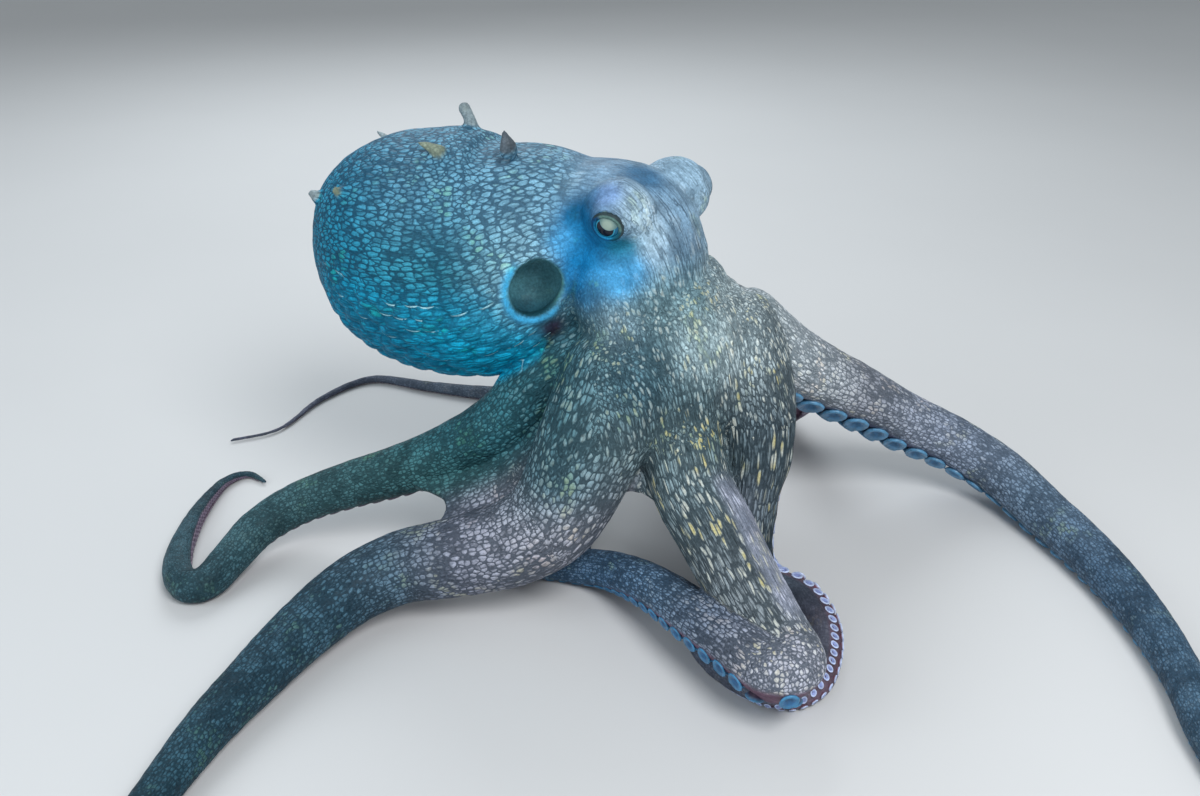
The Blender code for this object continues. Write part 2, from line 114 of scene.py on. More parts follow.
def meshObject(name, points, faces):
    mesh = bpy.data.meshes.new(name)
    mesh.from_pydata([tuple(p) for p in points], [], faces)
    mesh.validate()
    obj = bpy.data.objects.new(name, mesh)
    bpy.context.scene.collection.objects.link(obj)
    return obj


def applyAll(obj):
    selectOnly(obj)
    for modifier in list(obj.modifiers):
        bpy.ops.object.modifier_apply(modifier=modifier.name)


def faceOutwards(obj):
    selectOnly(obj)
    bpy.ops.object.mode_set(mode="EDIT")
    bpy.ops.mesh.select_all(action="SELECT")
    bpy.ops.mesh.normals_make_consistent(inside=False)
    bpy.ops.object.mode_set(mode="OBJECT")


def shadeSmooth(obj):
    selectOnly(obj)
    bpy.ops.object.shade_smooth()


def readVectors(items, field):
    flat = np.empty(len(items) * 3, np.float32)
    items.foreach_get(field, flat)
    return flat.reshape(-1, 3).astype(float)


def readPoints(obj):
    return readVectors(obj.data.vertices, "co")


def writePoints(obj, points):
    obj.data.vertices.foreach_set("co", np.ascontiguousarray(points, np.float32).ravel())
    obj.data.update()


def setAttribute(obj, name, values):
    width = values.shape[1] if values.ndim > 1 else 1
    kind, field = {1: ("FLOAT", "value"), 3: ("FLOAT_VECTOR", "vector"), 4: ("FLOAT_COLOR", "color")}[width]
    layer = obj.data.attributes.get(name) or obj.data.attributes.new(name, kind, "POINT")
    layer.data.foreach_set(field, np.ascontiguousarray(values, np.float32).ravel())


def setTint(obj, colour):
    setAttribute(obj, "tint", np.hstack([colour, np.ones((len(colour), 1))]))


def unit(v):
    return v / np.maximum(np.linalg.norm(v, axis=-1, keepdims=True), 1e-12)


def fade(low, high, x):
    t = np.clip((x - low) / (high - low), 0, 1)
    return t * t * (3 - 2 * t)


def near(points, centre, radius):
    # 1 at the centre, fading away over about two radii
    return np.exp(-((points - np.array(centre)) ** 2).sum(1) / (2 * radius**2))


def metres(rows):
    return np.array(rows) / 1000


def smoothCurve(knots, steps):
    # a smooth line through the knots, with the same number of steps between each two
    knots = np.vstack([2 * knots[0] - knots[1], knots, 2 * knots[-1] - knots[-2]])
    t = (np.arange(steps) / steps)[:, None]
    found = []
    for a, b, c, d in zip(knots, knots[1:], knots[2:], knots[3:]):
        found.append(0.5 * (2 * b + (c - a) * t + (2 * a - 5 * b + 4 * c - d) * t**2
                            + (3 * b - a - 3 * c + d) * t**3))
    return np.vstack(found + [knots[-2:-1]])


def evened(values, turns):
    # each value drawn towards its neighbours, and the two ends kept
    for turn in range(turns):
        values[1:-1] = (values[:-2] + 2 * values[1:-1] + values[2:]) / 4
    return values


def lengthsAlong(line):
    return np.concatenate([[0], np.cumsum(np.linalg.norm(np.diff(line, axis=0), axis=1))])


def readAlong(s, where, values):
    # rows of values that stand at where, read at s
    return np.stack([np.interp(s, where, values[:, k]) for k in range(values.shape[1])], -1)


def sampled(table, s):
    # a table of (distance, value or values) read at each s
    where = [row[0] for row in table]
    values = np.array([row[1] for row in table], float)
    if values.ndim == 1:
        return np.interp(s, where, values)
    return readAlong(s, where, values)


def cellFlow(shape, s, cell):
    # cells counted down a line, and how many there are in a metre
    pace = 1 / (sampled(shape["stretch"], s) * cell)
    return np.concatenate([[0], np.cumsum(pace[1:] * np.diff(s))]), pace


def gridFaces(rows, columns, closed=False):
    # faces between loops of points, and between the last loop and the first if closed
    faces = []
    for i in range(rows if closed else rows - 1):
        this, following = i * columns, (i + 1) % rows * columns
        for j in range(columns):
            k = (j + 1) % columns
            faces.append((this + j, this + k, following + k, following + j))
    return faces


def makeTube(name, rings, tip=None):
    # a closed tube through the rings, ending flat or in a tip
    count, sides = rings.shape[:2]
    points = list(rings.reshape(-1, 3))
    faces = gridFaces(count, sides) + [tuple(range(sides - 1, -1, -1))]
    last = (count - 1) * sides
    if tip is None:
        faces.append(tuple(range(last, last + sides)))
    else:
        points.append(tip)
        faces += [(last + j, last + (j + 1) % sides, len(points) - 1) for j in range(sides)]
    obj = meshObject(name, points, faces)
    faceOutwards(obj)
    return obj


armShared = {
    "underside": 0.84,  # height of the centre line above the underside, in radii
    "tipRadius": 0.0013,
    "ringGap": 0.0016,
    "sides": 26,
    "oralFlat": 0.30,  # how far the side with the suckers is drawn in, in radii
    "waySteps": 16,
    "cellRadius": 0.020,  # where an arm is this thick its skin has cells of full size
}
# Roll turns the sucker side from straight down towards the right of the arm's heading.
# "cup" is a sucker's radius in arm radii, "gap" the step to the next one in sucker
# radii and "rows" each row's angle from the middle of that side. "stretch" tells how
# much longer than wide the skin's cells are, at distances down the arm, and "fine" how
# wide they are. A row of the route is x, y and the underside's height in millimetres,
# and the roll in degrees.
plainArm = {
    "cup": 0.34, "gap": 2.2, "rows": 30, "stretch": [(0, 2.0), (0.5, 1.6)],
    "fine": [(0, 0.85), (0.08, 0.95)],
}
armShapes = {
    "r1": dict(
        root=0.0215, taper=0.75, cup=0.30, gap=2.6, rows=28,
        stretch=[(0, 3.6), (0.05, 4.8), (0.15, 5.0), (0.20, 2.2), (0.46, 1.6)],
        fine=[(0, 0.68), (0.14, 0.70), (0.18, 0.84)], route=[
            (26, 14, 112, 0), (33, -2, 84, 0), (38, -18, 66, 0), (44, -32, 50, 0), (53, -49, 40, 0),
            (65, -74, 26, -10), (75, -94, 17, -30), (81, -109, 14, -42), (73, -115, 14, -48),
            (60, -97, 14, -48), (44, -73, 13, -45), (26, -43, 10, -38), (7, -17, 4, -20), (-14, -4, 0, 0),
            (-36, 1, 0, 0), (-52, 16, 0, 0), (-49, 38, 0, 0), (-28, 47, 0, 0), (-9, 38, 0, 0),
            (-6, 20, 0, 0),
        ]),
    "l1": dict(
        root=0.0235, taper=1.3, cup=0.24, gap=2.25, rows=28,
        stretch=[(0, 3.6), (0.05, 5.0), (0.14, 4.8), (0.20, 1.8), (0.37, 1.5)],
        fine=[(0, 0.68), (0.20, 0.85)], route=[
            (52, 18, 122, 0), (66, 10, 104, 0), (73, 1, 81, 0), (74, -7, 60, -20), (71, -13, 34, -55),
            (72, -20, 10, -100), (82, -27, 0, -140), (93, -32, 0, -145), (100, -44, 0, -132),
            (103, -60, 0, -126), (101, -78, 0, -120), (94, -95, 0, -105), (81, -103, 0, -60),
            (66, -96, 0, -15), (52, -80, 0, 0), (44, -61, 0, 0), (44, -40, 0, 0), (47, -22, 0, 0),
            (37, -10, 0, 0), (26, -16, 0, 0),
        ]),
    "l2": dict(
        root=0.0210, taper=0.95, cup=0.40, gap=2.35, rows=25,
        stretch=[(0, 2.2), (0.06, 1.9), (0.62, 1.6)],
        fine=[(0, 0.80), (0.08, 0.92)], route=[
            (60, 30, 114, 0), (88, 47, 86, 0), (111, 62, 67, 8), (134, 73, 52, 15), (165, 85, 31, 18),
            (196, 87, 16, 18), (221, 71, 6, 14), (238, 36, 0, 8), (250, -6, 0, 0), (256, -46, 0, 0),
            (257, -90, 0, 0), (252, -134, 0, 0), (254, -178, 0, 0), (272, -214, 0, 0), (304, -226, 0, 0),
            (328, -206, 0, 0), (324, -180, 0, 0), (304, -176, 0, 0),
        ]),
    "l3": dict(
        plainArm, root=0.0210, taper=1.1, route=[
            (50, 36, 112, 0), (76, 60, 90, 0), (101, 86, 68, 0), (114, 120, 36, 0), (110, 158, 8, 0),
            (98, 194, 0, 0), (86, 230, 0, 0), (82, 268, 0, 0), (90, 306, 0, 0), (74, 338, 0, 0),
            (44, 342, 0, 0), (26, 320, 0, 0), (36, 298, 0, 0), (54, 302, 0, 0),
        ]),
    "l4": dict(
        plainArm, root=0.0210, taper=1.1, route=[
            (34, 36, 120, 0), (34, 70, 98, 0), (40, 106, 62, 0), (48, 142, 26, 0), (50, 180, 2, 0),
            (40, 216, 0, 0), (14, 240, 0, 0), (-20, 256, 0, 0), (-52, 276, 0, 0), (-82, 304, 0, 0),
            (-118, 314, 0, 0), (-144, 294, 0, 0), (-138, 268, 0, 0), (-116, 266, 0, 0),
        ]),
    "r4": dict(
        plainArm, root=0.0200, taper=1.7, route=[
            (12, 28, 118, 0), (-16, 48, 90, 0), (-34, 78, 52, 0), (-34, 110, 18, 0), (-14, 136, 0, 0),
            (10, 154, 0, 0), (14, 184, 0, 0), (-12, 202, 0, 0), (-40, 200, 0, 0), (-72, 203, 0, 0),
            (-112, 215, 0, 0), (-152, 228, 0, 0), (-180, 200, 0, 0), (-198, 158, 0, 0), (-224, 143, 0, 0),
        ]),
    "r3": dict(
        root=0.0190, taper=0.85, cup=0.30, gap=2.2, rows=26,
        stretch=[(0, 2.2), (0.08, 1.5), (0.5, 1.6)],
        fine=[(0, 0.80), (0.08, 0.95)], route=[
            (16, 16, 114, 0), (-19, 13, 95, 0), (-48, 16, 65, 8), (-76, 22, 46, 12), (-102, 26, 34, 12),
            (-130, 30, 24, 12), (-156, 29, 15, 10), (-175, 18, 8, 5), (-185, 0, 3, 0), (-193, -18, 0, 5),
            (-202, -21, 0, 20), (-211, -8, 0, 45), (-216, 14, 0, 70), (-218, 42, 0, 85),
            (-217, 68, 0, 85), (-213, 90, 0, 70), (-203, 100, 0, 40), (-191, 92, 0, 10),
        ]),
    "r2": dict(
        root=0.0300, taper=1.5, cup=0.23, gap=2.2, rows=24,
        stretch=[(0, 2.4), (0.06, 1.5), (0.20, 1.5), (0.56, 1.9)],
        fine=[(0, 0.78), (0.05, 0.85), (0.10, 0.95)], route=[
            (20, 2, 106, 0), (0, -18, 72, 8), (-19, -26, 34, 14), (-38, -28, 20, 15), (-57, -29, 15, 15),
            (-76, -30, 12, 15), (-95, -32, 10, 14), (-117, -44, 6, 10), (-137, -70, 2, 5),
            (-152, -100, 0, 0), (-164, -130, 0, 0), (-174, -165, 0, 0), (-186, -202, 0, 0),
            (-210, -238, 0, 0), (-250, -254, 0, 0), (-286, -238, 0, 0), (-292, -208, 0, 0),
            (-270, -200, 0, 0),
        ]),
}
webShapes = [  # the two arms, how far down each one it is attached, how far its edge curves in
    ("r1", 0.070, "l1", 0.060, 0.35), ("l1", 0.075, "l2", 0.105, 0.30),
    ("l2", 0.125, "l3", 0.120, 0.30), ("l3", 0.125, "l4", 0.125, 0.30),
    ("l4", 0.125, "r4", 0.120, 0.30), ("r4", 0.120, "r3", 0.130, 0.30),
    ("r3", 0.165, "r2", 0.190, 0.25), ("r2", 0.125, "r1", 0.100, 0.30),
]
webShared = {"across": 22, "down": 30, "thickness": 0.0056}


def carried(heading, first):
    # a direction square to the line, carried along it without a twist
    found = [unit(first - heading[0] * (first @ heading[0]))]
    for direction in heading[1:]:
        found.append(unit(found[-1] - direction * (found[-1] @ direction)))
    return np.array(found)


def radiusAlong(shape, share):
    left = np.clip(1 - share, 0, 1)
    return armShared["tipRadius"] + (shape["root"] - armShared["tipRadius"]) * left ** shape["taper"]


def armLine(shape):
    # evenly spaced points down an arm, with its radius and its directions at each
    curve = smoothCurve(np.array(shape["route"]) / [1000, 1000, 1000, 1], armShared["waySteps"])
    line = curve[:, :3].copy()
    line[:, 2] = np.maximum(line[:, 2], 0)
    along = lengthsAlong(line)
    length = along[-1]
    line[:, 2] += armShared["underside"] * radiusAlong(shape, along / length)
    s = np.linspace(0, length, int(length / armShared["ringGap"]) + 1)
    centre = evened(readAlong(s, along, line), 2)
    heading = unit(np.gradient(centre, axis=0))
    roll = np.radians(np.interp(s, along, curve[:, 3]))[:, None]
    right = unit(np.cross(heading, [0, 0, 1]))
    above = np.cross(right, heading)
    radius = radiusAlong(shape, s / length)
    bend = evened(np.linalg.norm(np.gradient(heading, s, axis=0), axis=1) * radius, 6)
    cell = np.clip((radius / armShared["cellRadius"]) ** 0.6, 0.5, 1.1)
    cell *= sampled(shape["fine"], s)
    beside = carried(heading, right[0])
    flow, pace = cellFlow(shape, s, cell)
    return {
        "s": s, "length": length, "centre": centre, "heading": heading, "radius": radius,
        "down": -above * np.cos(roll) + right * np.sin(roll),
        "across": right * np.cos(roll) + above * np.sin(roll),
        "beside": beside, "over": np.cross(beside, heading),
        "bend": fade(0.50, 0.80, bend), "cell": cell, "pace": pace, "flow": flow,
    }


def makeArm(name, line):
    turn = np.arange(armShared["sides"]) * 2 * np.pi / armShared["sides"]
    under = np.maximum(0, np.cos(turn))
    reach = 1 - armShared["oralFlat"] * under**4
    start = np.clip(line["s"] / (0.8 * line["radius"][0]), 0.08, 1)
    thick = line["radius"] * np.sqrt(1 - (1 - start) ** 2)  # the root end is round
    out = (line["down"][:, None, :] * np.cos(turn)[None, :, None]
           + line["across"][:, None, :] * np.sin(turn)[None, :, None])
    rings = line["centre"][:, None, :] + out * (thick[:, None] * reach[None, :])[:, :, None]
    tip = line["centre"][-1] + line["heading"][-1] * line["radius"][-1]
    return makeTube(name, rings, tip)


def makeWeb(first, firstDepth, second, secondDepth, curveIn):
    u = np.linspace(0, 1, webShared["across"] + 1)
    share = 1 - curveIn * np.sin(np.pi * u)
    v = np.linspace(0, 1, webShared["down"] + 1)[None, :] * share[:, None]
    ends = [readAlong(v * depth, lines[name]["s"], lines[name]["centre"])
            for name, depth in ((first, firstDepth), (second, secondDepth))]
    grid = ends[0] * (1 - u[:, None, None]) + ends[1] * u[:, None, None]
    count = webShared["down"] + 1
    faces = []
    for i in range(webShared["across"]):
        for j in range(webShared["down"]):
            a, b = i * count + j, (i + 1) * count + j
            faces.append((a, b, b + 1, a + 1))
    obj = meshObject("web", grid.reshape(-1, 3), faces)
    wall = obj.modifiers.new("wall", "SOLIDIFY")
    wall.thickness = webShared["thickness"]
    wall.offset = 0
    applyAll(obj)
    return obj


lines = {name: armLine(shape) for name, shape in armShapes.items()}
flesh = [makeArm("arm_" + name, line) for name, line in lines.items()]
flesh += [makeWeb(*web) for web in webShapes]
print("arms and web:", len(flesh), "pieces")

mantleShape = {
    "sections": [
        (-139, 74, 160, 10, 12), (-134, 73, 160, 24, 28), (-121, 69, 159, 38, 43),
        (-101, 62, 157, 49, 55), (-78, 54, 155, 54, 60), (-55, 45, 157, 53, 60),
        (-35, 37, 164, 46, 55), (-17, 30, 175, 36, 41), (2, 24, 182, 26, 26), (12, 20, 184, 16, 14),
    ],
    "pocketAt": Vector((-0.0297, 0.0000, 0.1571)),
    "pocketRadii": (0.0129, 0.0128, 0.0155),
    "pocketTurn": math.radians(28),  # its top turned towards the head
}
mouthSections = [
    (38, 12, 150, 30, 26), (38, 12, 128, 40, 36), (36, 14, 104, 42, 40), (36, 16, 86, 36, 34),
    (36, 18, 72, 22, 22),
]
funnelShape = {
    "sections": [
        (-2, 52, 152, 12, 12), (-8, 66, 146, 11, 11), (-14, 84, 137, 9, 9), (-18, 98, 128, 7, 7),
    ],
    "holeAt": Vector((-0.0180, 0.098, 0.128)),
    "holeRadii": (0.0042, 0.009, 0.0042),
}
saddleBalls = [  # soft filling where the neck meets the roots of the left arms
    ((0.047, 0.030, 0.132), 0.020), ((0.040, 0.040, 0.130), 0.018),
]
bodyShared = {"sides": 48, "steps": 7}  # points round each form, and steps between sections


def makeLoft(name, sections, side=None):
    curve = smoothCurve(metres(sections), bodyShared["steps"])
    centre = curve[:, :3]
    heading = unit(np.gradient(centre, axis=0))
    right = np.cross(heading, [0, 0, 1]) if side is None else np.array([side] * len(curve))
    right = unit(right - heading * (right * heading).sum(1, keepdims=True))
    above = np.cross(right, heading)
    turn = np.arange(bodyShared["sides"]) * 2 * np.pi / bodyShared["sides"]
    rings = (centre[:, None, :]
             + right[:, None, :] * (curve[:, 3:4] * np.cos(turn))[:, :, None]
             + above[:, None, :] * (curve[:, 4:5] * np.sin(turn))[:, :, None])
    return makeTube(name, rings)


def makeBall(name, centre, radii, segments=40, rings=24):
    deselect()
    bpy.ops.mesh.primitive_uv_sphere_add(segments=segments, ring_count=rings, radius=1)
    ball = bpy.context.active_object
    ball.name = name
    ball.scale = radii if isinstance(radii, tuple) else (radii,) * 3
    ball.location = centre
    bpy.ops.object.transform_apply(location=True, rotation=False, scale=True)
    return ball


def hollowOut(obj, centre, radii, turn=0):
    # turn tips the hollow's top towards the head
    hole = makeBall("hole", centre, radii)
    hole.data.transform(Matrix.Translation(centre) @ Matrix.Rotation(turn, 4, "Y")
                        @ Matrix.Translation(-centre))
    cut = obj.modifiers.new("hollow", "BOOLEAN")
    cut.operation = "DIFFERENCE"
    cut.object = hole
    applyAll(obj)
    bpy.data.objects.remove(hole)
    return obj


flesh.append(hollowOut(makeLoft("mantleForm", mantleShape["sections"]),
                       mantleShape["pocketAt"], mantleShape["pocketRadii"], mantleShape["pocketTurn"]))
flesh.append(hollowOut(makeLoft("funnelForm", funnelShape["sections"], Vector((1, 0, 0))),
                       funnelShape["holeAt"], funnelShape["holeRadii"]))
flesh.append(makeLoft("headForm", headShape["sections"], toLeft))
flesh.append(makeLoft("mouthForm", mouthSections, toLeft))
flesh += [makeBall("moundForm", moundCentre(side), headShape["moundRadius"]) for side in (-1, 1)]
flesh += [makeBall("saddle", centre, radius) for centre, radius in saddleBalls]
print("body forms made")

# Where each horn stands (share of the mantle's length, turn from its top towards the far
# side), its height, radius, thickness over width, lean to the rear, how its end widens,
# how its foot flares, and its colour.
hornKeys = ("at", "height", "radius", "flat", "lean", "end", "flare", "paint")
hornShapes = [dict(zip(hornKeys, row)) for row in (
    ((0.505, 10), 0.0108, 0.0030, 0.9, 0.55, 1.15, 0.7, "hornPale"),
    ((0.664, -22), 0.0105, 0.0046, 0.8, 0.05, 0.10, 0.1, "hornDark"),
    ((0.515, -25), 0.0062, 0.0042, 0.7, 1.70, 0.30, 0.2, "hornWarm"),
    ((0.262, 36), 0.0056, 0.0036, 0.7, 2.00, 0.40, 0.2, "hornPale"),
    ((0.138, -46), 0.0036, 0.0026, 0.8, 0.80, 0.8, 0.4, "hornPale"),
    ((0.283, -50), 0.0028, 0.0024, 0.8, 0.80, 0.8, 0.4, "hornWarm"),
    ((0.560, 62), 0.0070, 0.0032, 0.7, 0.60, 0.5, 0.5, "hornPale"),
    ((0.400, 74), 0.0050, 0.0030, 0.7, 0.90, 0.5, 0.5, "hornPale"),
)]
hornShared = {"sides": 16, "rings": 18, "sunk": 0.4}  # how deep they start, in heights


def hornFoot(shape):
    # where a horn stands on the mantle, the way out of it there and the way to the rear
    curve = smoothCurve(metres(mantleShape["sections"]), bodyShared["steps"])
    i = int(round(shape["at"][0] * (len(curve) - 1)))
    turn = math.radians(shape["at"][1])
    axis = Vector(unit(np.gradient(curve[:, :3], axis=0))[i]) * -1
    far = axis.cross(up).normalized()
    out = up * math.cos(turn) + far * math.sin(turn)
    wide, tall = curve[i, 3:]
    foot = Vector(curve[i, :3]) + up * tall * math.cos(turn) + far * wide * math.sin(turn)
    return foot, out, axis


def makeHorn(shape):
    foot, out, axis = hornFoot(shape)
    side = axis.cross(out).normalized()
    tall, lean = shape["height"], shape["lean"]
    rings = []
    for t in np.linspace(-hornShared["sunk"], 1, hornShared["rings"]):
        rise = max(t, 0)
        middle = foot + out * tall * t + axis * tall * lean * rise**1.5
        heading = (out + axis * lean * 1.5 * rise**0.5).normalized()
        other = side.cross(heading).normalized()
        width = shape["radius"] * (1 + shape["flare"] * math.exp(-6 * max(t + 0.1, 0)))
        width *= 1 + (shape["end"] - 1) * (fade(0.3, 0.95, rise) if shape["end"] > 1 else rise)
        width *= math.sqrt(max(0.03, 1 - max(0, (t - 0.78) / 0.22) ** 2))
        spokes = [2 * math.pi * k / hornShared["sides"] for k in range(hornShared["sides"])]
        rings.append([tuple(middle + side * width * math.cos(around)
                            + other * width * shape["flat"] * math.sin(around)) for around in spokes])
    return makeTube("horn", np.array(rings))


flesh += [makeHorn(shape) for shape in hornShapes]
print("horns made")

skinShape = {
    "voxel": 0.00115,
    "passes": 6,
    "triangles": 190000,
    "crown": (0.036, -0.022, 0.096),  # middle of the crown's front, which is smoothed most
    "crownRadius": 0.017,
    "crownPasses": 90,
}


def makeSkin(pieces):
    deselect()
    for piece in pieces:
        piece.select_set(True)
    bpy.context.view_layer.objects.active = pieces[0]
    bpy.ops.object.join()
    skin = bpy.context.active_object
    skin.name = "skin"
    skin.data.materials.clear()
    melt = skin.modifiers.new("melt", "REMESH")
    melt.mode = "VOXEL"
    melt.voxel_size = skinShape["voxel"]
    soften = skin.modifiers.new("soften", "SMOOTH")
    soften.factor = 0.5
    soften.iterations = skinShape["passes"]
    applyAll(skin)
    return skin


def softenCrown(skin):
    # the crown's front flows into the arms with no ledge
    soft = near(readPoints(skin), skinShape["crown"], skinShape["crownRadius"])
    group = skin.vertex_groups.new(name="crownFront")
    for step in range(1, 11):
        chosen = np.flatnonzero(np.round(soft * 10) == step)
        group.add(chosen.tolist(), step / 10, "REPLACE")
    soften = skin.modifiers.new("softenCrown", "SMOOTH")
    soften.vertex_group = group.name
    soften.factor = 0.5
    soften.iterations = skinShape["crownPasses"]
    applyAll(skin)


skin = makeSkin(flesh)
softenCrown(skin)
print("skin melted:", len(skin.data.vertices), "points")

# The line that the skin follows from the mantle's rear through the head to the neck,
# with the flesh's half width and half height round it, and the stretch of its cells.
bodyShape = {
    "sections": mantleShape["sections"][:8] + [
        (4, 22, 180, 30, 28), (17, 15, 168, 30, 29), (21, 13, 150, 34, 31), (29, 13, 130, 38, 34),
        (34, 13, 108, 38, 34),
    ],
    "stretch": [(0, 3.0), (0.13, 2.8), (0.165, 1.35), (0.19, 2.2), (0.23, 4.2)],
    "fine": [(0, 0.95), (0.17, 0.95), (0.20, 0.72), (0.23, 0.66)],
}
# Neighbouring arms take turns between two channels, so that the two nearest arms of
# any point between them are always in different ones.
channels = [("r1", "l2", "l4", "r3"), ("l1", "l3", "r4", "r2")]
softShare = 0.006  # how far one form's look reaches into the next one's
farMound = {"skin": 0.012, "folds": 0.013}  # how far the look of the mound of the far eye reaches


def makeBodyLine():
    curve = evened(smoothCurve(metres(bodyShape["sections"]), 12), 60)
    centre = curve[:, :3]
    heading = unit(np.gradient(centre, axis=0))
    right = carried(heading, np.cross(heading[0], [0, 0, 1]))
    s = lengthsAlong(centre)
    cell = sampled(bodyShape["fine"], s)
    flow, pace = cellFlow(bodyShape, s, cell)
    return {
        "s": s, "cell": cell, "centre": centre, "heading": heading, "across": right,
        "above": np.cross(right, heading), "wide": curve[:, 3], "tall": curve[:, 4],
        "pace": pace, "flow": flow,
    }


bodyLine = makeBodyLine()


def nearestOn(points, centre):
    # index of the nearest centre for each point, and the distance to it
    index = np.empty(len(points), int)
    away = np.empty(len(points))
    squares = (centre**2).sum(1)
    for first in range(0, len(points), 20000):
        some = points[first:first + 20000]
        gaps = squares[None, :] - 2 * some @ centre.T
        index[first:first + 20000] = gaps.argmin(1)
        best = gaps.min(1) + (some**2).sum(1)
        away[first:first + 20000] = np.sqrt(np.maximum(best, 0))
    return index, away


def placeOn(points, line, *keys):
    # the nearest place on a line, the distance to it, and its share in each direction
    i, away = nearestOn(points, line["centre"])
    out = points - line["centre"][i]
    return i, away, [(out * line[key][i]).sum(1) for key in keys]


def flowPlace(line, i, first, second, along):
    # the same place counted in cells, which the pattern of the skin follows
    return np.stack([first / line["cell"][i], second / line["cell"][i],
                     line["flow"][i] + along * line["pace"][i]], 1)


def armPlace(points, name):
    # where each point lies round and along an arm, how far outside its flesh, and how
    # nearly on the side with the suckers
    line = lines[name]
    i, away, (along, beside, over, across, down) = placeOn(
        points, line, "heading", "beside", "over", "across", "down")
    turn = down / np.maximum(np.hypot(across, down), 1e-6)
    return flowPlace(line, i, beside, over, along), line["s"][i] + along, away - line["radius"][i], turn


def bodyPlace(points):
    i, away, (along, across, above) = placeOn(points, bodyLine, "heading", "across", "above")
    wide, tall = bodyLine["wide"][i], bodyLine["tall"][i]
    outside = (np.hypot(across / wide, above / tall) - 1) * np.minimum(wide, tall)
    return flowPlace(bodyLine, i, across, above, along), bodyLine["s"][i] + along, outside


def surveySkin(points):
    # how each point lies to the body and to the nearest arm of each channel, and how much
    # of its look each of the three gives
    x, y, z = points.T
    body, bodyRun, bodyGap = bodyPlace(points)
    found = {"body": body, "bodyRun": bodyRun, "bodyGap": bodyGap, "arms": []}
    for names in channels:
        parts = list(zip(*[armPlace(points, name) for name in names]))
        pick = np.argmin(np.stack(parts[2]), 0)
        place, run, gap, turn = [np.stack(part)[pick, np.arange(len(points))] for part in parts]
        found["arms"].append({"place": place, "run": run, "gap": gap, "turn": turn,
                              "owner": np.array(names)[pick]})
    mantle = fade(-0.008, -0.022, x) * fade(0.008, 0.002, bodyGap)
    weights = [np.exp(-np.maximum(bodyGap, 0) / softShare)]
    weights += [np.exp(-np.maximum(arm["gap"], 0) / softShare) * (1 - mantle) for arm in found["arms"]]
    weights[0] = np.maximum(weights[0] * fade(0.112, 0.140, z), mantle)
    total = sum(weights) + 1e-9
    found["mantle"] = mantle
    found["shares"] = [weight / total for weight in weights]
    return found


def armBlend(found, tables):
    # a value looked up along each point's arms, mixed by their shares
    total = np.zeros(len(found["bodyRun"]))
    for arm, names, share in zip(found["arms"], channels, found["shares"][1:]):
        for name in names:
            here = arm["owner"] == name
            total[here] += sampled(tables[name], arm["run"][here]) * share[here]
    return total


def tooBent(found):
    return armBlend(found, {name: list(zip(line["s"], line["bend"])) for name, line in lines.items()})


def lumps(places, size):
    # soft noise from about -1 to 1 at each place
    return np.array([perlin(place) for place in (places / size).tolist()])


def openingGap(points):
    # distance from the wall of the mantle's opening, less than nothing inside it
    turn = np.array(Matrix.Rotation(mantleShape["pocketTurn"], 3, "Y"))
    away = (points - np.array(mantleShape["pocketAt"])) @ turn / np.array(mantleShape["pocketRadii"])
    return (np.linalg.norm(away, axis=1) - 1) * mantleShape["pocketRadii"][0]


# how strongly the long folds, the net of cells and the pale streaks show down each arm
armFolds = {
    "r1": [(0, 0.9), (0.05, 0.9), (0.16, 0.7), (0.20, 0.1)],
    "l1": [(0, 0.9), (0.05, 0.9), (0.12, 0.7), (0.16, 0.1)],
    "l2": [(0, 0.8), (0.05, 0.45), (0.12, 0.1)],
    "l3": [(0, 0.8), (0.08, 0.1)],
    "l4": [(0, 0.6), (0.08, 0)],
    "r4": [(0, 0.4), (0.08, 0)],
    "r3": [(0, 0.4), (0.06, 0)],
    "r2": [(0, 0.7), (0.05, 0.3), (0.10, 0)],
}
armNet = {
    "r1": [(0, 0.9), (0.06, 1.0), (0.22, 1.0), (0.30, 0.8), (0.46, 0.4)],
    "l1": [(0, 0.9), (0.06, 1.0), (0.12, 0.9), (0.155, 0.15), (0.37, 0.05)],
    "l2": [(0, 0.8), (0.10, 0.8), (0.30, 0.65), (0.62, 0.45)],
    "l3": [(0, 0.7), (0.45, 0.4)],
    "l4": [(0, 0.7), (0.45, 0.4)],
    "r4": [(0, 0.7), (0.50, 0.3)],
    "r3": [(0, 0.8), (0.15, 0.7), (0.42, 0.5)],
    "r2": [(0, 0.9), (0.10, 1.0), (0.25, 0.8), (0.55, 0.5)],
}
armStreak = {
    "r1": [(0, 0.7), (0.05, 1.0), (0.155, 1.0), (0.20, 0.1)],
    "l1": [(0, 0.7), (0.05, 1.0), (0.12, 0.9), (0.155, 0)],
    "l2": [(0, 0.6), (0.05, 0.3), (0.2, 0.05)],
    "l3": [(0, 0.5), (0.08, 0.1)],
    "l4": [(0, 0.2), (0.1, 0)],
    "r4": [(0, 0.1), (0.1, 0)],
    "r3": [(0, 0.2), (0.1, 0)],
    "r2": [(0, 0.5), (0.06, 0.15), (0.15, 0)],
}
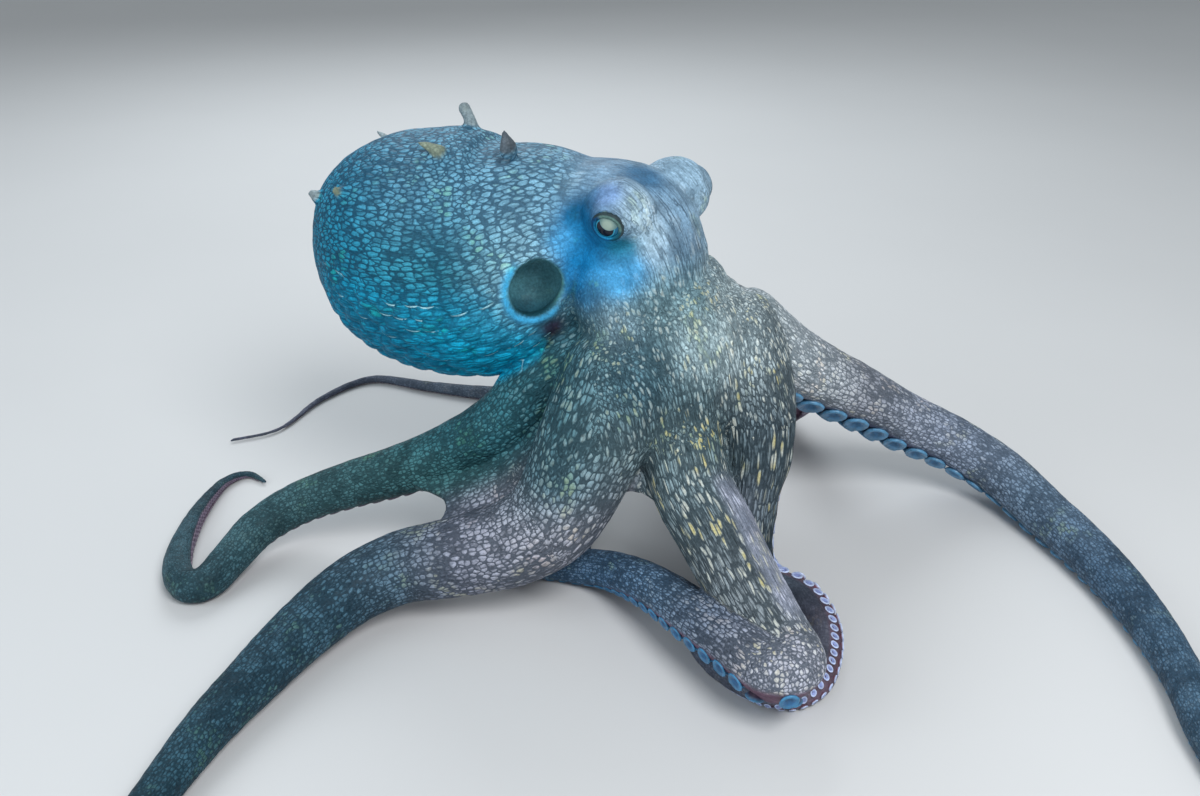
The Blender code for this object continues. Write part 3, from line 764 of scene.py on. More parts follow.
reliefShape = {
    "lipHeight": 0.0017,
    "lipWidth": 0.0021,
    "lipOut": 0.0012,  # from the opening's wall to the middle of its lip
    "foldHeight": 0.0007,
    "foldGap": 0.0062,
    "roughHeight": 0.00022,
    "roughSize": 0.0052,
    "knobHeight": 0.0018,
    "knobGap": (0.0092, 0.0068),  # along the mantle, and up its side
    "knobRound": 0.055,  # the mantle's radius where they stand
    "knobRadius": 0.62,  # of one knob, and how far it strays from the grid, in gaps
    "knobStray": 0.45,
    "knobShine": (0.57, 0.61),  # a knob's lower edge gets a painted highlight where its chance is above these
}
eyeLid = {
    "reach": 0.0052,  # radius of the opening between the lids
    "cover": 0.0108,  # how far from the eyeball's centre the skin over it lies
    "under": 0.0088,  # the same for skin that the eyeball hides
    "segments": 96,
}


def mantleKnobs(points, found):
    # soft knobs on the lower side of the mantle: where they are, height, how far from a
    # knob's middle, how far below it, and whether its lower edge gets a painted highlight
    x, y, z = points.T
    zone = found["mantle"] * fade(0.163, 0.147, z) * fade(-0.136, -0.126, x)
    zone *= fade(0.004, 0.010, openingGap(points))
    height = np.zeros(len(points))
    apart = np.full(len(points), 2.0)
    below = np.zeros(len(points))
    shine = np.zeros(len(points))
    here = np.flatnonzero(zone > 0.01)
    gapAlong, gapUp = reliefShape["knobGap"]
    i, away, (across, above) = placeOn(points[here], bodyLine, "across", "above")
    u = found["bodyRun"][here] / gapAlong
    v = np.arctan2(across, -above) * reliefShape["knobRound"] / gapUp
    best = np.full(len(here), 9.0)
    low = np.zeros(len(here))
    chance = np.zeros(len(here))
    for row in (-1, 0, 1):
        for column in (-1, 0, 1):
            cellV = np.floor(v) + row
            cellU = np.floor(u + 0.5 * (cellV % 2)) + column
            # two numbers from 0 to 1 that are the same for a knob each time
            seed = np.sin(cellU * 12.9898 + cellV * 78.233) * 43758.5453
            first = seed - np.floor(seed)
            second = seed * 7.31 - np.floor(seed * 7.31)
            offU = u + 0.5 * (cellV % 2) - cellU - 0.5 - reliefShape["knobStray"] * (first - 0.5)
            offV = v - cellV - 0.5 - reliefShape["knobStray"] * (second - 0.5)
            away = np.hypot(offU, offV)
            closer = away < best
            best = np.where(closer, away, best)
            low = np.where(closer, -offV, low)
            chance = np.where(closer, first * 0.5 + second * 0.5, chance)
    height[here] = np.clip(1 - (best / reliefShape["knobRadius"]) ** 2, 0, 1) * zone[here]
    apart[here] = best
    below[here] = low
    shine[here] = fade(*reliefShape["knobShine"], chance) * zone[here]
    return zone, height, apart, below, shine


def carveSkin(skin):
    # the lip of the opening, long folds, coarse unevenness, knobs and the skin by the eyes
    points = readPoints(skin)
    x, y, z = points.T
    found = surveySkin(points)
    shares = found["shares"]
    level = openingGap(points)
    lift = np.exp(-((level - reliefShape["lipOut"]) / reliefShape["lipWidth"]) ** 2)
    lift *= (y < 0.012) * fade(-0.008, -0.012, x)
    lift *= fade(-0.007, -0.002, found["bodyGap"]) * reliefShape["lipHeight"]
    fromEye = np.linalg.norm(points - np.array(eyeCentre(-1)), axis=1)
    smooth = fade(0.0, 0.004, level) * fade(0.012, 0.018, fromEye)
    # long folds from between the eyes down the neck and the front arms
    head = shares[0] * fade(-0.002, 0.014, x) * fade(0.212, 0.200, z)
    head *= 1 - near(points, moundCentre(1), farMound["skin"])
    folds = armBlend(found, armFolds) * (1 - tooBent(found)) + head
    places = found["body"] * shares[0][:, None]
    for arm, share in zip(found["arms"], shares[1:]):
        places = np.where(share[:, None] > 0.5, arm["place"], places)
    strong = np.flatnonzero(folds > 0.03)
    ridge = 1 - 2.2 * np.abs(lumps(places[strong] * [1, 1, 0.35], reliefShape["foldGap"]))
    lift[strong] += reliefShape["foldHeight"] * folds[strong] * ridge * smooth[strong]
    lift += reliefShape["roughHeight"] * lumps(points, reliefShape["roughSize"]) * smooth
    lift += reliefShape["knobHeight"] * mantleKnobs(points, found)[1]
    points = points + readVectors(skin.data.vertex_normals, "vector") * lift[:, None]
    for side in (-1, 1):
        points = coverEye(points, side)
    writePoints(skin, settleOnFloor(points))


def coverEye(points, side):
    # skin drawn over the eyeball, up to the ring of the lids
    centre = np.array(eyeCentre(side))
    out = points - centre
    away = np.linalg.norm(out, axis=1)
    angle = np.arccos(np.clip(out @ np.array(gazeAxis(side)) / away, -1, 1))
    inner = math.asin(eyeLid["reach"] / eyeShape["radius"])
    cover = eyeLid["cover"] * fade(inner + 0.10, inner + 0.19, angle)
    wanted = np.where(away < eyeLid["cover"] + 0.0006, np.maximum(away, cover), away)
    hidden = fade(inner + 0.15, inner + 0.06, angle) * (away < eyeLid["cover"] + 0.003)
    wanted = wanted * (1 - hidden) + np.minimum(wanted, eyeLid["under"]) * hidden
    return centre + out * (wanted / away)[:, None]


def settleOnFloor(points, soft=0.0012):
    # whatever would dip below the floor is pressed into a thin layer on it
    z = points[:, 2]
    points[:, 2] = np.where(z < soft, soft * np.exp((np.maximum(z, -0.02) - soft) / soft), z)
    return points


carveSkin(skin)
thin = skin.modifiers.new("thin", "DECIMATE")
skin.data.calc_loop_triangles()
thin.ratio = min(1, skinShape["triangles"] / len(skin.data.loop_triangles))
applyAll(skin)
shadeSmooth(skin)
print("skin thinned:", len(skin.data.polygons), "faces")


def rgb(r, g, b):
    # a colour as it looks on a screen, 0 to 255, made linear
    c = np.array([r, g, b]) / 255
    return np.where(c <= 0.04045, c / 12.92, ((c + 0.055) / 1.055) ** 2.4)


# distance down the arm, and the colour there as on a screen, 0 to 255
# Part of these colours is painted light besides the arms' own colour: r1 is paler at its elbow, about
# 0.175, partly a painted highlight; r3 all along and r2 from about 0.18 on are darker, partly painted
# shade.
armPaint = {
    "r1": [(0, 90, 114, 120), (0.06, 100, 120, 126), (0.10, 100, 114, 120), (0.12, 100, 110, 116),
           (0.16, 112, 120, 126), (0.175, 148, 150, 162), (0.21, 104, 112, 128), (0.25, 84, 106, 128),
           (0.30, 72, 108, 140), (0.40, 60, 84, 102)],
    "l1": [(0, 140, 152, 156), (0.06, 82, 96, 104), (0.10, 74, 88, 96), (0.12, 62, 76, 86),
           (0.15, 62, 72, 84), (0.18, 70, 72, 86), (0.30, 70, 72, 84)],
    "l2": [(0, 188, 198, 202), (0.05, 176, 184, 190), (0.10, 130, 134, 144), (0.17, 122, 132, 150),
           (0.24, 88, 108, 128), (0.31, 58, 82, 104), (0.45, 56, 84, 104), (0.62, 52, 78, 96)],
    "l3": [(0, 150, 156, 160), (0.06, 132, 120, 138), (0.45, 74, 92, 108)],
    "l4": [(0, 96, 114, 124), (0.45, 66, 88, 102)],
    "r4": [(0, 60, 92, 102), (0.50, 80, 84, 100)],
    "r3": [(0, 46, 92, 102), (0.10, 44, 88, 92), (0.20, 52, 84, 90), (0.28, 46, 76, 86),
           (0.42, 42, 66, 78)],
    "r2": [(0, 72, 104, 114), (0.05, 100, 118, 124), (0.08, 136, 138, 148), (0.14, 112, 116, 130),
           (0.175, 70, 92, 108), (0.21, 48, 78, 94), (0.32, 34, 66, 80), (0.42, 28, 58, 70),
           (0.55, 26, 54, 66)],
}
armHues = {name: [(s, rgb(*hue)) for s, *hue in rows] for name, rows in armPaint.items()}
oralPaint = {
    "r1": rgb(94, 64, 84), "l1": rgb(86, 68, 80), "l2": rgb(72, 74, 98), "l3": rgb(104, 76, 96),
    "l4": rgb(92, 76, 94), "r4": rgb(92, 76, 94), "r3": rgb(76, 72, 86), "r2": rgb(90, 68, 86),
}
paint = {
    "mantleTop": rgb(92, 134, 160),
    "mantleSide": rgb(42, 118, 140),
    "mantleFore": rgb(124, 164, 180),
    "mantleLow": rgb(0, 118, 152),
    "mantleBright": rgb(0, 168, 206),
    "mantleRear": rgb(0, 110, 142),
    "head": rgb(104, 134, 158),
    # paler, partly a painted highlight on the far mound's top
    "farMound": rgb(180, 212, 232),
    "dip": rgb(46, 96, 132),
    "neck": rgb(108, 136, 142),
    "crownRear": rgb(38, 90, 102),
    "blue": rgb(0, 80, 120),
    "blueLow": rgb(0, 108, 158),
    "teal": rgb(0, 100, 122),
    "lilac": rgb(118, 150, 196),
    "cream": rgb(178, 204, 220),
    "lightBlue": rgb(72, 160, 212),
    "crownPale": rgb(178, 194, 198),
    "crownDark": rgb(50, 90, 106),
    "rim": rgb(70, 176, 224),
    "pocket": rgb(84, 138, 146),
    # painted shade towards the bottom of the opening's wall
    "pocketShade": rgb(28, 68, 78),
    # painted shade below the opening
    "gap": rgb(36, 34, 52),
    "knob": rgb(0, 126, 160),
    # the pale band's colour, partly a painted highlight
    "edge": rgb(164, 168, 186),
    "hornPale": rgb(136, 146, 148),
    "hornDark": rgb(78, 80, 84),
    "hornWarm": rgb(122, 128, 106),
    "lid": rgb(96, 128, 122),
    # painted shade in the crease along the lid's top
    "lidCreaseShade": rgb(46, 62, 66),
    "lidRear": rgb(4, 72, 120),
    "lidLow": rgb(0, 86, 134),
    # painted shade at the lid's lower front corner
    "lidCornerShade": rgb(6, 78, 96),
    "lidInner": rgb(20, 128, 172),
}
# from the centre of the right eye: where, how wide, which colour, how strong
huePatches = [
    ((0.0099, -0.0033, 0.0059), 0.0075, "cream", 0.62),
    ((0.0135, -0.0031, -0.0090), 0.0070, "cream", 0.70),
    ((0.0130, 0.0205, 0.0120), 0.0065, "dip", 0.85),
    ((-0.0154, 0.0072, -0.0034), 0.0070, "blue", 1.0),
    ((-0.0128, 0.0073, -0.0183), 0.0080, "blueLow", 1.0),
    ((-0.0039, -0.0014, -0.0180), 0.0070, "blueLow", 0.95),
    ((-0.0075, 0.0010, -0.0030), 0.0062, "blueLow", 0.9),
    ((-0.0030, -0.0040, -0.0090), 0.0050, "blueLow", 0.8),
    ((-0.0183, 0.0098, -0.0316), 0.0075, "blueLow", 0.8),
    ((-0.0106, 0.0011, -0.0340), 0.0065, "blueLow", 0.6),
    ((0.0040, -0.0045, -0.0125), 0.0048, "teal", 0.9),
    ((0.0014, -0.0058, -0.0265), 0.0058, "lightBlue", 0.85),
    ((0.0080, -0.0051, -0.0225), 0.0046, "lightBlue", 0.7),
    ((-0.0240, 0.0090, -0.0130), 0.0045, "lightBlue", 0.6),
    ((-0.0035, -0.0016, 0.0115), 0.0046, "lilac", 0.85),
    ((-0.0110, 0.0040, 0.0080), 0.0050, "blue", 0.55),
    ((0.0400, -0.0090, -0.0575), 0.0110, "crownPale", 0.42),
    ((0.0560, 0.0020, -0.0620), 0.0110, "crownPale", 0.40),
    ((0.0028, -0.0118, -0.0480), 0.0070, "cream", 0.30),
    ((0.0100, -0.0209, -0.0660), 0.0120, "crownDark", 0.55),
]
calmHues = ("dip", "blue", "blueLow", "teal", "lilac", "lightBlue")  # without the net of cells
spotShape = {
    "litBandFaces": (0.83, 0.24, 0.50),  # the way the near front arm's smooth pale band faces, which is partly a painted highlight
    "rimOut": 0.0016,  # from the opening's wall to the middle of its bright rim
    "rimWidth": 0.0016,
    "shadeSpotAt": (-0.023, 0.002, 0.1365),  # painted shade: a dark spot below the opening, where the underside lies in shade
    "shadeSpotRadius": 0.0055,
}


def mixed(a, b, share):
    # a laid over with b, which is a colour or the name of one
    b = paint[b] if isinstance(b, str) else b
    return a * (1 - share[:, None]) + b * share[:, None]


def hornShare(points, outside):
    # how much each point belongs to a horn, and which colour it has there
    share = np.zeros(len(points))
    colour = np.zeros((len(points), 3))
    for shape in hornShapes:
        foot, out, axis = hornFoot(shape)
        middle = foot + (out + axis * shape["lean"] * 0.8) * shape["height"] * 0.7
        size = shape["height"] * math.hypot(1, shape["lean"])
        away = np.linalg.norm(points - np.array(middle), axis=1)
        here = fade(size * 0.95, size * 0.75, away) * fade(0.0003, 0.0018, outside)
        colour = np.where((here > share)[:, None], paint[shape["paint"]], colour)
        share = np.maximum(share, here)
    return share, colour


def paintSkin(obj):
    points = readPoints(obj)
    x, y, z = points.T
    found = surveySkin(points)
    shares = found["shares"]
    colour = np.zeros((len(points), 3))
    oral = np.zeros(len(points))
    oralColour = np.zeros((len(points), 3))
    for arm, names, share in zip(found["arms"], channels, shares[1:]):
        run = arm["run"]
        under = fade(0.60, 0.80, arm["turn"]) * fade(0.03, 0.09, run) * fade(0.004, 0.0, arm["gap"])
        for name in names:
            here = arm["owner"] == name
            colour[here] += sampled(armHues[name], run[here]) * share[here][:, None]
            oral[here] += under[here] * share[here]
            oralColour[here] += oralPaint[name] * (under[here] * share[here])[:, None]
    net = armBlend(found, armNet)
    streak = armBlend(found, armStreak)
    bent = tooBent(found)
    fold = armBlend(found, armFolds) * (1 - bent)

    # darker and greener on the crown's rear half
    rear = fade(0.020, -0.024, x) * (1 - shares[0]) * fade(0.05, 0.08, z)
    colour = mixed(colour, paint["crownRear"] * (1 - shares[0][:, None]), 0.75 * rear)
    # a smooth pale band down the near front arm, on the side towards its neighbour: partly its own colour,
    # partly a painted highlight
    first = found["arms"][0]
    i, away = nearestOn(points, lines["r1"]["centre"])
    aside = unit(points - lines["r1"]["centre"][i]) @ np.array(spotShape["litBandFaces"])
    litPaleBand = fade(0.40, 0.72, aside) * fade(0.070, 0.095, first["run"]) * fade(0.170, 0.150, first["run"])
    litPaleBand *= (first["owner"] == "r1") * shares[1]
    colour = mixed(colour, "edge", 0.85 * litPaleBand)
    net *= 1 - 0.5 * litPaleBand
    streak *= 1 - litPaleBand

    # the mantle and the head
    tone = mixed(paint["mantleLow"], "mantleBright", fade(-0.105, -0.055, x))
    side = mixed(paint["mantleSide"], "mantleFore", fade(-0.075, -0.030, x))
    tone = mixed(tone, side, fade(0.118, 0.160, z))
    tone = mixed(tone, "mantleTop", 0.7 * fade(0.160, 0.202, z))
    tone = mixed(tone, "mantleRear", 0.7 * fade(-0.085, -0.125, x))
    atHead = fade(-0.030, 0.002, x)
    tone = mixed(tone, "head", atHead * fade(0.145, 0.180, z))
    tone = mixed(tone, "neck", atHead * fade(0.178, 0.148, z))
    # the mound of the far eye is paler: partly its own colour, partly a painted highlight on its top
    tone = mixed(tone, "farMound", near(points, moundCentre(1), farMound["skin"]))
    colour += tone * shares[0][:, None]
    net += (0.95 - 0.75 * atHead) * shares[0]
    frontSide = shares[0] * fade(-0.002, 0.012, x)
    frontSide *= 1 - 0.8 * near(points, moundCentre(1), farMound["folds"])
    fold += frontSide + 0.35 * found["mantle"]
    streak += 0.5 * frontSide * fade(0.185, 0.150, z)

    zone, height, apart, below, shine = mantleKnobs(points, found)
    colour = mixed(colour, "knob", 0.6 * zone)
    net *= 1 - 0.4 * zone * fade(0.160, 0.140, z)
    horn, hornColour = hornShare(points, found["bodyGap"])
    colour = mixed(colour, hornColour, 0.9 * horn)
    net *= 1 - 0.8 * horn

    eye = np.array(eyeCentre(-1))
    calm = np.zeros(len(points))
    for at, radius, hue, strength in huePatches:
        here = np.clip(near(points, eye + np.array(at), radius) * 1.5, 0, 1) * strength
        colour = mixed(colour, hue, here)
        if hue in calmHues:
            calm = np.maximum(calm, here)
    net *= 1 - 0.85 * calm
    streak *= 1 - calm
    fold *= 1 - calm

    # the opening: a bright rim at its lower left, its wall, darker towards its bottom as painted shade, and
    # a dark spot of painted shade below it
    level = openingGap(points)
    lowLeft = fade(0.55, -0.25, (x + 0.030) / 0.014 + (z - 0.1565) / 0.016)
    rim = np.exp(-((level - spotShape["rimOut"]) / spotShape["rimWidth"]) ** 2)
    rim = rim * ((y < 0.014) * fade(-0.008, -0.012, x)) * lowLeft
    rim = np.clip(1.25 * rim * fade(-0.006, -0.003, found["bodyGap"]), 0, 1)
    colour = mixed(colour, "rim", rim)
    inside = fade(0.0010, -0.0004, level) * (y < 0.02) * (x < 0.0)
    colour = mixed(colour, mixed(paint["pocket"], "pocketShade", fade(0.156, 0.144, z)), inside)
    shadedGap = near(points, spotShape["shadeSpotAt"], spotShape["shadeSpotRadius"])
    colour = mixed(colour, "gap", np.clip(1.3 * shadedGap, 0, 1) * (1 - inside))
    quiet = (1 - rim) * (1 - inside) * (1 - shadedGap)

    colour = colour * (1 - oral[:, None]) + oralColour
    for layer in (net, streak, fold):
        layer *= quiet
        layer *= 1 - oral
    # the pattern on the crown's front runs straight down from the neck
    front = fade(0.084, 0.102, z) * fade(0.020, 0.0, y)
    front *= fade(-0.010, 0.006, x)
    led = np.stack(shares, 1) * (1 - front[:, None])
    led[:, 0] += front
    setTint(obj, colour)
    for name, values in (
            ("flowBody", found["body"]), ("flowFirst", first["place"]),
            ("flowSecond", found["arms"][1]["place"] + 0.37), ("shares", led),
            ("zones", np.stack([net, streak, fold], 1)),
            ("knobs", np.stack([found["mantle"], apart, below], 1)), ("shine", shine), ("bent", bent)):
        setAttribute(obj, name, values)


paintSkin(skin)
print("skin painted")

suckerShape = {
    # radius and height of each loop, in sucker radii, from its foot to the hole inside
    "profile": [(0.60, -0.30), (0.70, 0.04), (1.00, 0.36), (0.88, 0.50), (0.45, 0.36), (0.22, 0.12)],
    "sides": 12,
    "first": 0.035,  # where the rows start down an arm
    "least": 0.0005,  # radius of the last ones
    "foot": 0.78,  # how far out the foot stands, in arm radii
    "rootShare": 0.45,  # size at the root against the full size, which grows with the distance
    "growth": 0.12,
    "end": 0.002,  # the tip of the arm without suckers
}
# colours of a sucker's rim, the dish inside it and its outer wall, by arm; the dish is darker than the rim,
# partly as painted shade in the hollow
suckerPaint = {
    "r1": (rgb(62, 130, 174), rgb(42, 98, 144), rgb(76, 62, 84)),
    "l1": (rgb(196, 212, 246), rgb(132, 146, 196), rgb(112, 70, 84)),
    "l2": (rgb(88, 144, 182), rgb(62, 118, 160), rgb(54, 70, 96)),
    "other": (rgb(120, 106, 126), rgb(84, 72, 92), rgb(92, 72, 88)),
}


def makeSucker():
    first = suckerShape["profile"][0]
    deselect()
    bpy.ops.mesh.primitive_circle_add(vertices=suckerShape["sides"], radius=first[0],
                                      location=(0, 0, first[1]))
    sucker = bpy.context.active_object
    bpy.ops.object.transform_apply(location=True, rotation=False, scale=False)
    bpy.ops.object.mode_set(mode="EDIT")
    bpy.ops.mesh.select_all(action="SELECT")
    for (r, z), (wider, higher) in zip(suckerShape["profile"], suckerShape["profile"][1:]):
        bpy.ops.mesh.extrude_region_move(TRANSFORM_OT_translate={"value": (0, 0, higher - z)})
        bpy.ops.transform.resize(value=(wider / r, wider / r, 1))
    bpy.ops.mesh.edge_face_add()
    bpy.ops.mesh.select_all(action="SELECT")
    bpy.ops.mesh.normals_make_consistent(inside=False)
    bpy.ops.object.mode_set(mode="OBJECT")
    return sucker


def makeSuckers():
    model = makeSucker()
    shape = readPoints(model)
    faces = [tuple(p.vertices) for p in model.data.polygons]
    bpy.data.objects.remove(model)
    reach = np.hypot(shape[:, 0], shape[:, 1])
    isRim = (reach > 0.80)[:, None]
    isDish = ((reach < 0.55) & (shape[:, 2] > 0))[:, None]
    allPoints, allFaces, allColours = [], [], []
    count = 0
    for name, line in lines.items():
        arm = armShapes[name]
        rimHue, dishHue, wallHue = suckerPaint.get(name, suckerPaint["other"])
        hue = np.where(isRim, rimHue, np.where(isDish, dishHue, wallHue))
        for row in (-1, 1):
            s = suckerShape["first"]
            if row > 0:
                s += 0.5 * arm["gap"] * arm["cup"] * arm["root"]
            while s < line["length"] - suckerShape["end"]:
                thick = float(np.interp(s, line["s"], line["radius"]))
                grown = min(1, suckerShape["rootShare"] + s / suckerShape["growth"])
                size = arm["cup"] * thick * grown
                if size < suckerShape["least"]:
                    break
                centre, down, across = [readAlong(s, line["s"], line[key])
                                        for key in ("centre", "down", "across")]
                turn = math.radians(arm["rows"]) * row
                out = unit(down * math.cos(turn) + across * math.sin(turn))
                side = unit(across - out * (across @ out))
                along = np.cross(out, side)
                spot = centre + out * thick * suckerShape["foot"]
                spread = shape[:, 0:1] * side + shape[:, 1:2] * along + shape[:, 2:3] * out
                allPoints.append(spot + size * spread)
                allColours.append(hue)
                allFaces += [tuple(i + count for i in face) for face in faces]
                count += len(shape)
                s += arm["gap"] * size
    obj = meshObject("suckers", settleOnFloor(np.vstack(allPoints)), allFaces)
    setTint(obj, np.vstack(allColours))
    shadeSmooth(obj)
    return obj


suckers = makeSuckers()
print("suckers:", len(suckers.data.polygons), "faces")


def makeEye(name, side):
    ball = makeBall(name, (0, 0, 0), eyeShape["radius"], eyeShape["segments"], eyeShape["rings"])
    gaze = readPoints(ball) / eyeShape["radius"]
    # the pole faces out, so the rings run round the pupil
    turn = eyeTurn(side) * np.array([[-side], [1], [1]])
    writePoints(ball, gaze @ turn * eyeShape["radius"] + np.array(eyeCentre(side)))
    gaze[:, 0] *= -side
    setAttribute(ball, "gaze", gaze)
    shadeSmooth(ball)
    return ball


# the lids as one soft ring: angle outwards from its inner edge, and distance from the
# eyeball's centre in eyeball radii
lidProfile = [
    (0.000, 1.004), (-0.022, 1.022), (-0.014, 1.050), (0.020, 1.080), (0.065, 1.098),
    (0.115, 1.100), (0.165, 1.092), (0.215, 1.070), (0.250, 1.000), (0.170, 0.900), (0.070, 0.930),
]


def makeLid(name, side):
    front, above, axis = eyeTurn(side)
    count, loops = eyeLid["segments"], len(lidProfile)
    points = []
    for i in range(count):
        around = 2 * math.pi * i / count
        spoke = front * math.cos(around) + above * math.sin(around)
        reach = eyeLid["reach"] * (1 + 0.05 * math.cos(2 * around)) - 0.0003 * max(0, math.sin(around))
        inner = math.asin(reach / eyeShape["radius"])
        for wider, distance in lidProfile:
            angle = inner + wider
            way = axis * math.cos(angle) + spoke * math.sin(angle)
            points.append(np.array(eyeCentre(side)) + way * distance * eyeShape["radius"])
    lid = meshObject(name, points, gridFaces(count, loops, closed=True))
    faceOutwards(lid)
    paintSkin(lid)
    wide = np.tile([wider for wider, distance in lidProfile], count)
    turn = np.repeat(np.arange(count) * 2 * np.pi / count, loops)
    colour = mixed(paint["lid"], "lidRear", fade(-0.35, -0.80, np.cos(turn)))
    colour = mixed(colour, "lidLow", fade(-0.30, -0.75, np.sin(turn)))
    # painted shade: a dark corner at the lower front of the lid and a dark line in the crease along its top
    colour = mixed(colour, "lidCornerShade", fade(0.70, 0.95, np.cos(turn + math.pi / 4)))
    colour = mixed(colour, "lidCreaseShade", fade(0.060, 0.100, wide) * fade(-0.26, 0.10, np.cos(turn - 0.96)))
    inner = fade(0.05, 0.0, wide) * fade(-0.1, 0.6, np.cos(turn - 1.25 * math.pi))
    setTint(lid, mixed(colour, "lidInner", 0.8 * inner))
    setAttribute(lid, "zones", np.zeros((len(wide), 3)))
    shadeSmooth(lid)
    return lid


eyes = [makeEye("eyeRight", -1), makeEye("eyeLeft", 1)]
lids = [makeLid("lidRight", -1), makeLid("lidLeft", 1)]
print("eyes made")


bench = {}  # the node tree that is being built


def newMaterial(name):
    material = bpy.data.materials.new(name)
    material.use_nodes = True
    bench["tree"] = material.node_tree
    return material, material.node_tree.nodes["Principled BSDF"].inputs


def newGroup(name, inputs, outputs):
    # inputs are Vector and numbers with their defaults, and all outputs are numbers
    made = bpy.data.node_groups.new(name, "ShaderNodeTree")
    bench["tree"] = made
    made.interface.new_socket(name="Vector", in_out="INPUT", socket_type="NodeSocketVector")
    for label, number in inputs.items():
        socket = made.interface.new_socket(name=label, in_out="INPUT", socket_type="NodeSocketFloat")
        socket.default_value = number
    for label in outputs:
        made.interface.new_socket(name=label, in_out="OUTPUT", socket_type="NodeSocketFloat")
    return made, addNode("NodeGroupInput").outputs, addNode("NodeGroupOutput").inputs


def put(socket, value):
    if isinstance(value, bpy.types.NodeSocket):
        bench["tree"].links.new(value, socket)
    elif value is not None:
        socket.default_value = value


def addNode(kind, given=None, **values):
    made = bench["tree"].nodes.new(kind)
    for key, value in values.items():
        setattr(made, key, value)
    for key, value in (given or {}).items():
        put(made.inputs[key], value)
    return made


def reckon(operation, a, b=None, clamp=False):
    return addNode("ShaderNodeMath", {0: a, 1: b}, operation=operation, use_clamp=clamp).outputs[0]


def add(a, b):
    return reckon("ADD", a, b)


def less(a, b):
    return reckon("SUBTRACT", a, b)


def times(a, b):
    return reckon("MULTIPLY", a, b)


def oneLess(a):
    return less(1.0, a)


def vectorReckon(operation, a, b):
    return addNode("ShaderNodeVectorMath", {0: a, 1: b}, operation=operation).outputs[0]


def scaled(vector, by):
    return addNode("ShaderNodeVectorMath", {0: vector, "Scale": by}, operation="SCALE").outputs[0]


def ramp(value, low, high, outLow=0.0, outHigh=1.0):
    given = {"Value": value, "From Min": low, "From Max": high, "To Min": outLow, "To Max": outHigh}
    return addNode("ShaderNodeMapRange", given, interpolation_type="SMOOTHSTEP").outputs["Result"]


def mixNode(kind, share, firstInput, a, b, **values):
    given = {0: share, firstInput: a, firstInput + 1: b}
    return addNode("ShaderNodeMix", given, data_type=kind, clamp_factor=True, **values).outputs


def blend(share, a, b):
    return mixNode("RGBA", share, 6, a, b)[2]


def tinted(a, b):
    return mixNode("RGBA", 1.0, 6, a, b, blend_type="MULTIPLY")[2]


def mixVector(share, a, b):
    return mixNode("VECTOR", share, 4, a, b)[1]


def mixNumber(share, a, b):
    return mixNode("FLOAT", share, 2, a, b)[0]


def ownPlace():
    return addNode("ShaderNodeTexCoord").outputs["Object"]


def readAttribute(name, output="Vector"):
    return addNode("ShaderNodeAttribute", attribute_name=name).outputs[output]


def splitAttribute(name):
    return addNode("ShaderNodeSeparateXYZ", {0: readAttribute(name)}).outputs


def noise(vector, scale, detail=2.0, rough=0.5, output="Fac"):
    given = {"Vector": vector, "Scale": scale, "Detail": detail, "Roughness": rough}
    return addNode("ShaderNodeTexNoise", given).outputs[output]


def bump(strength, distance, height, under=None):
    given = {"Strength": strength, "Distance": distance, "Height": height, "Normal": under}
    return addNode("ShaderNodeBump", given).outputs["Normal"]


def cellGroup():
    # rounded pale cells, 1 at their middle, with a net of 0 between them
    tree, given, out = newGroup("skinCells", {"Size": 0.003, "Warp": 0.4}, ["Cell", "Tone", "Height"])
    counted = scaled(given["Vector"], reckon("DIVIDE", 1.0, given["Size"]))
    wobble = vectorReckon("SUBTRACT", noise(counted, 0.9, 1.0, 0.5, "Color"), (0.5, 0.5, 0.5))
    place = vectorReckon("ADD", counted, scaled(wobble, given["Warp"]))
    spots = {"Vector": place, "Scale": 1, "Randomness": 0.72}
    edge = addNode("ShaderNodeTexVoronoi", spots, feature="DISTANCE_TO_EDGE")
    middle = addNode("ShaderNodeTexVoronoi", spots, feature="F1")
    corner = reckon("MAXIMUM", less(middle.outputs["Distance"], 0.42), 0.0)
    level = less(edge.outputs["Distance"], times(corner, 0.40))
    put(out["Cell"], ramp(level, 0.005, 0.105))
    put(out["Tone"], addNode("ShaderNodeSeparateColor", {0: middle.outputs["Color"]}).outputs[0])
    put(out["Height"], ramp(level, 0.0, 0.32))
    return tree


def foldGroup():
    # thin dark lines that run with the flow, 0 in a line and 1 beside it
    tree, given, out = newGroup("skinFolds", {"Gap": 0.003}, ["Ridge"])
    narrow = vectorReckon("MULTIPLY", given["Vector"], (1.0, 1.0, 0.22))
    wave = noise(scaled(narrow, reckon("DIVIDE", 1.0, given["Gap"])), 1.0, 1.5, 0.5)
    put(out["Ridge"], ramp(reckon("ABSOLUTE", less(wave, 0.5)), 0.0, 0.065))
    return tree


netShape = {
    "cell": 0.0024,  # width of one cell of skin
    "warp": 0.45,
    "foldGap": 0.0028,
    "ragged": 1.5,  # how far the edges between two forms stray
}
netScales = {  # of the noise in each pattern, a metre
    "ragged": 330, "broad": 42, "patches": 120, "strokes": 850, "warm": 62, "warmHue": 25,
    "streakHue": 60, "speck": 900, "gloss": 300, "grain": 700,
}
netPaint = {
    "dark": (0.40, 0.45, 0.48, 1),  # times the skin's own colour, in the net between the cells
    "mantleDark": (0.32, 0.40, 0.46, 1),
    "ochre": (1.12, 1.06, 0.70, 1),
    "cream": (1.14, 1.0, 0.92, 1),
    "streakPale": (*rgb(206, 210, 200), 1),
    "streakYellow": (*rgb(204, 194, 132), 1),
    # the colour of the painted highlights on the knobs' lower edges
    "glint": (*rgb(176, 228, 240), 1),
}


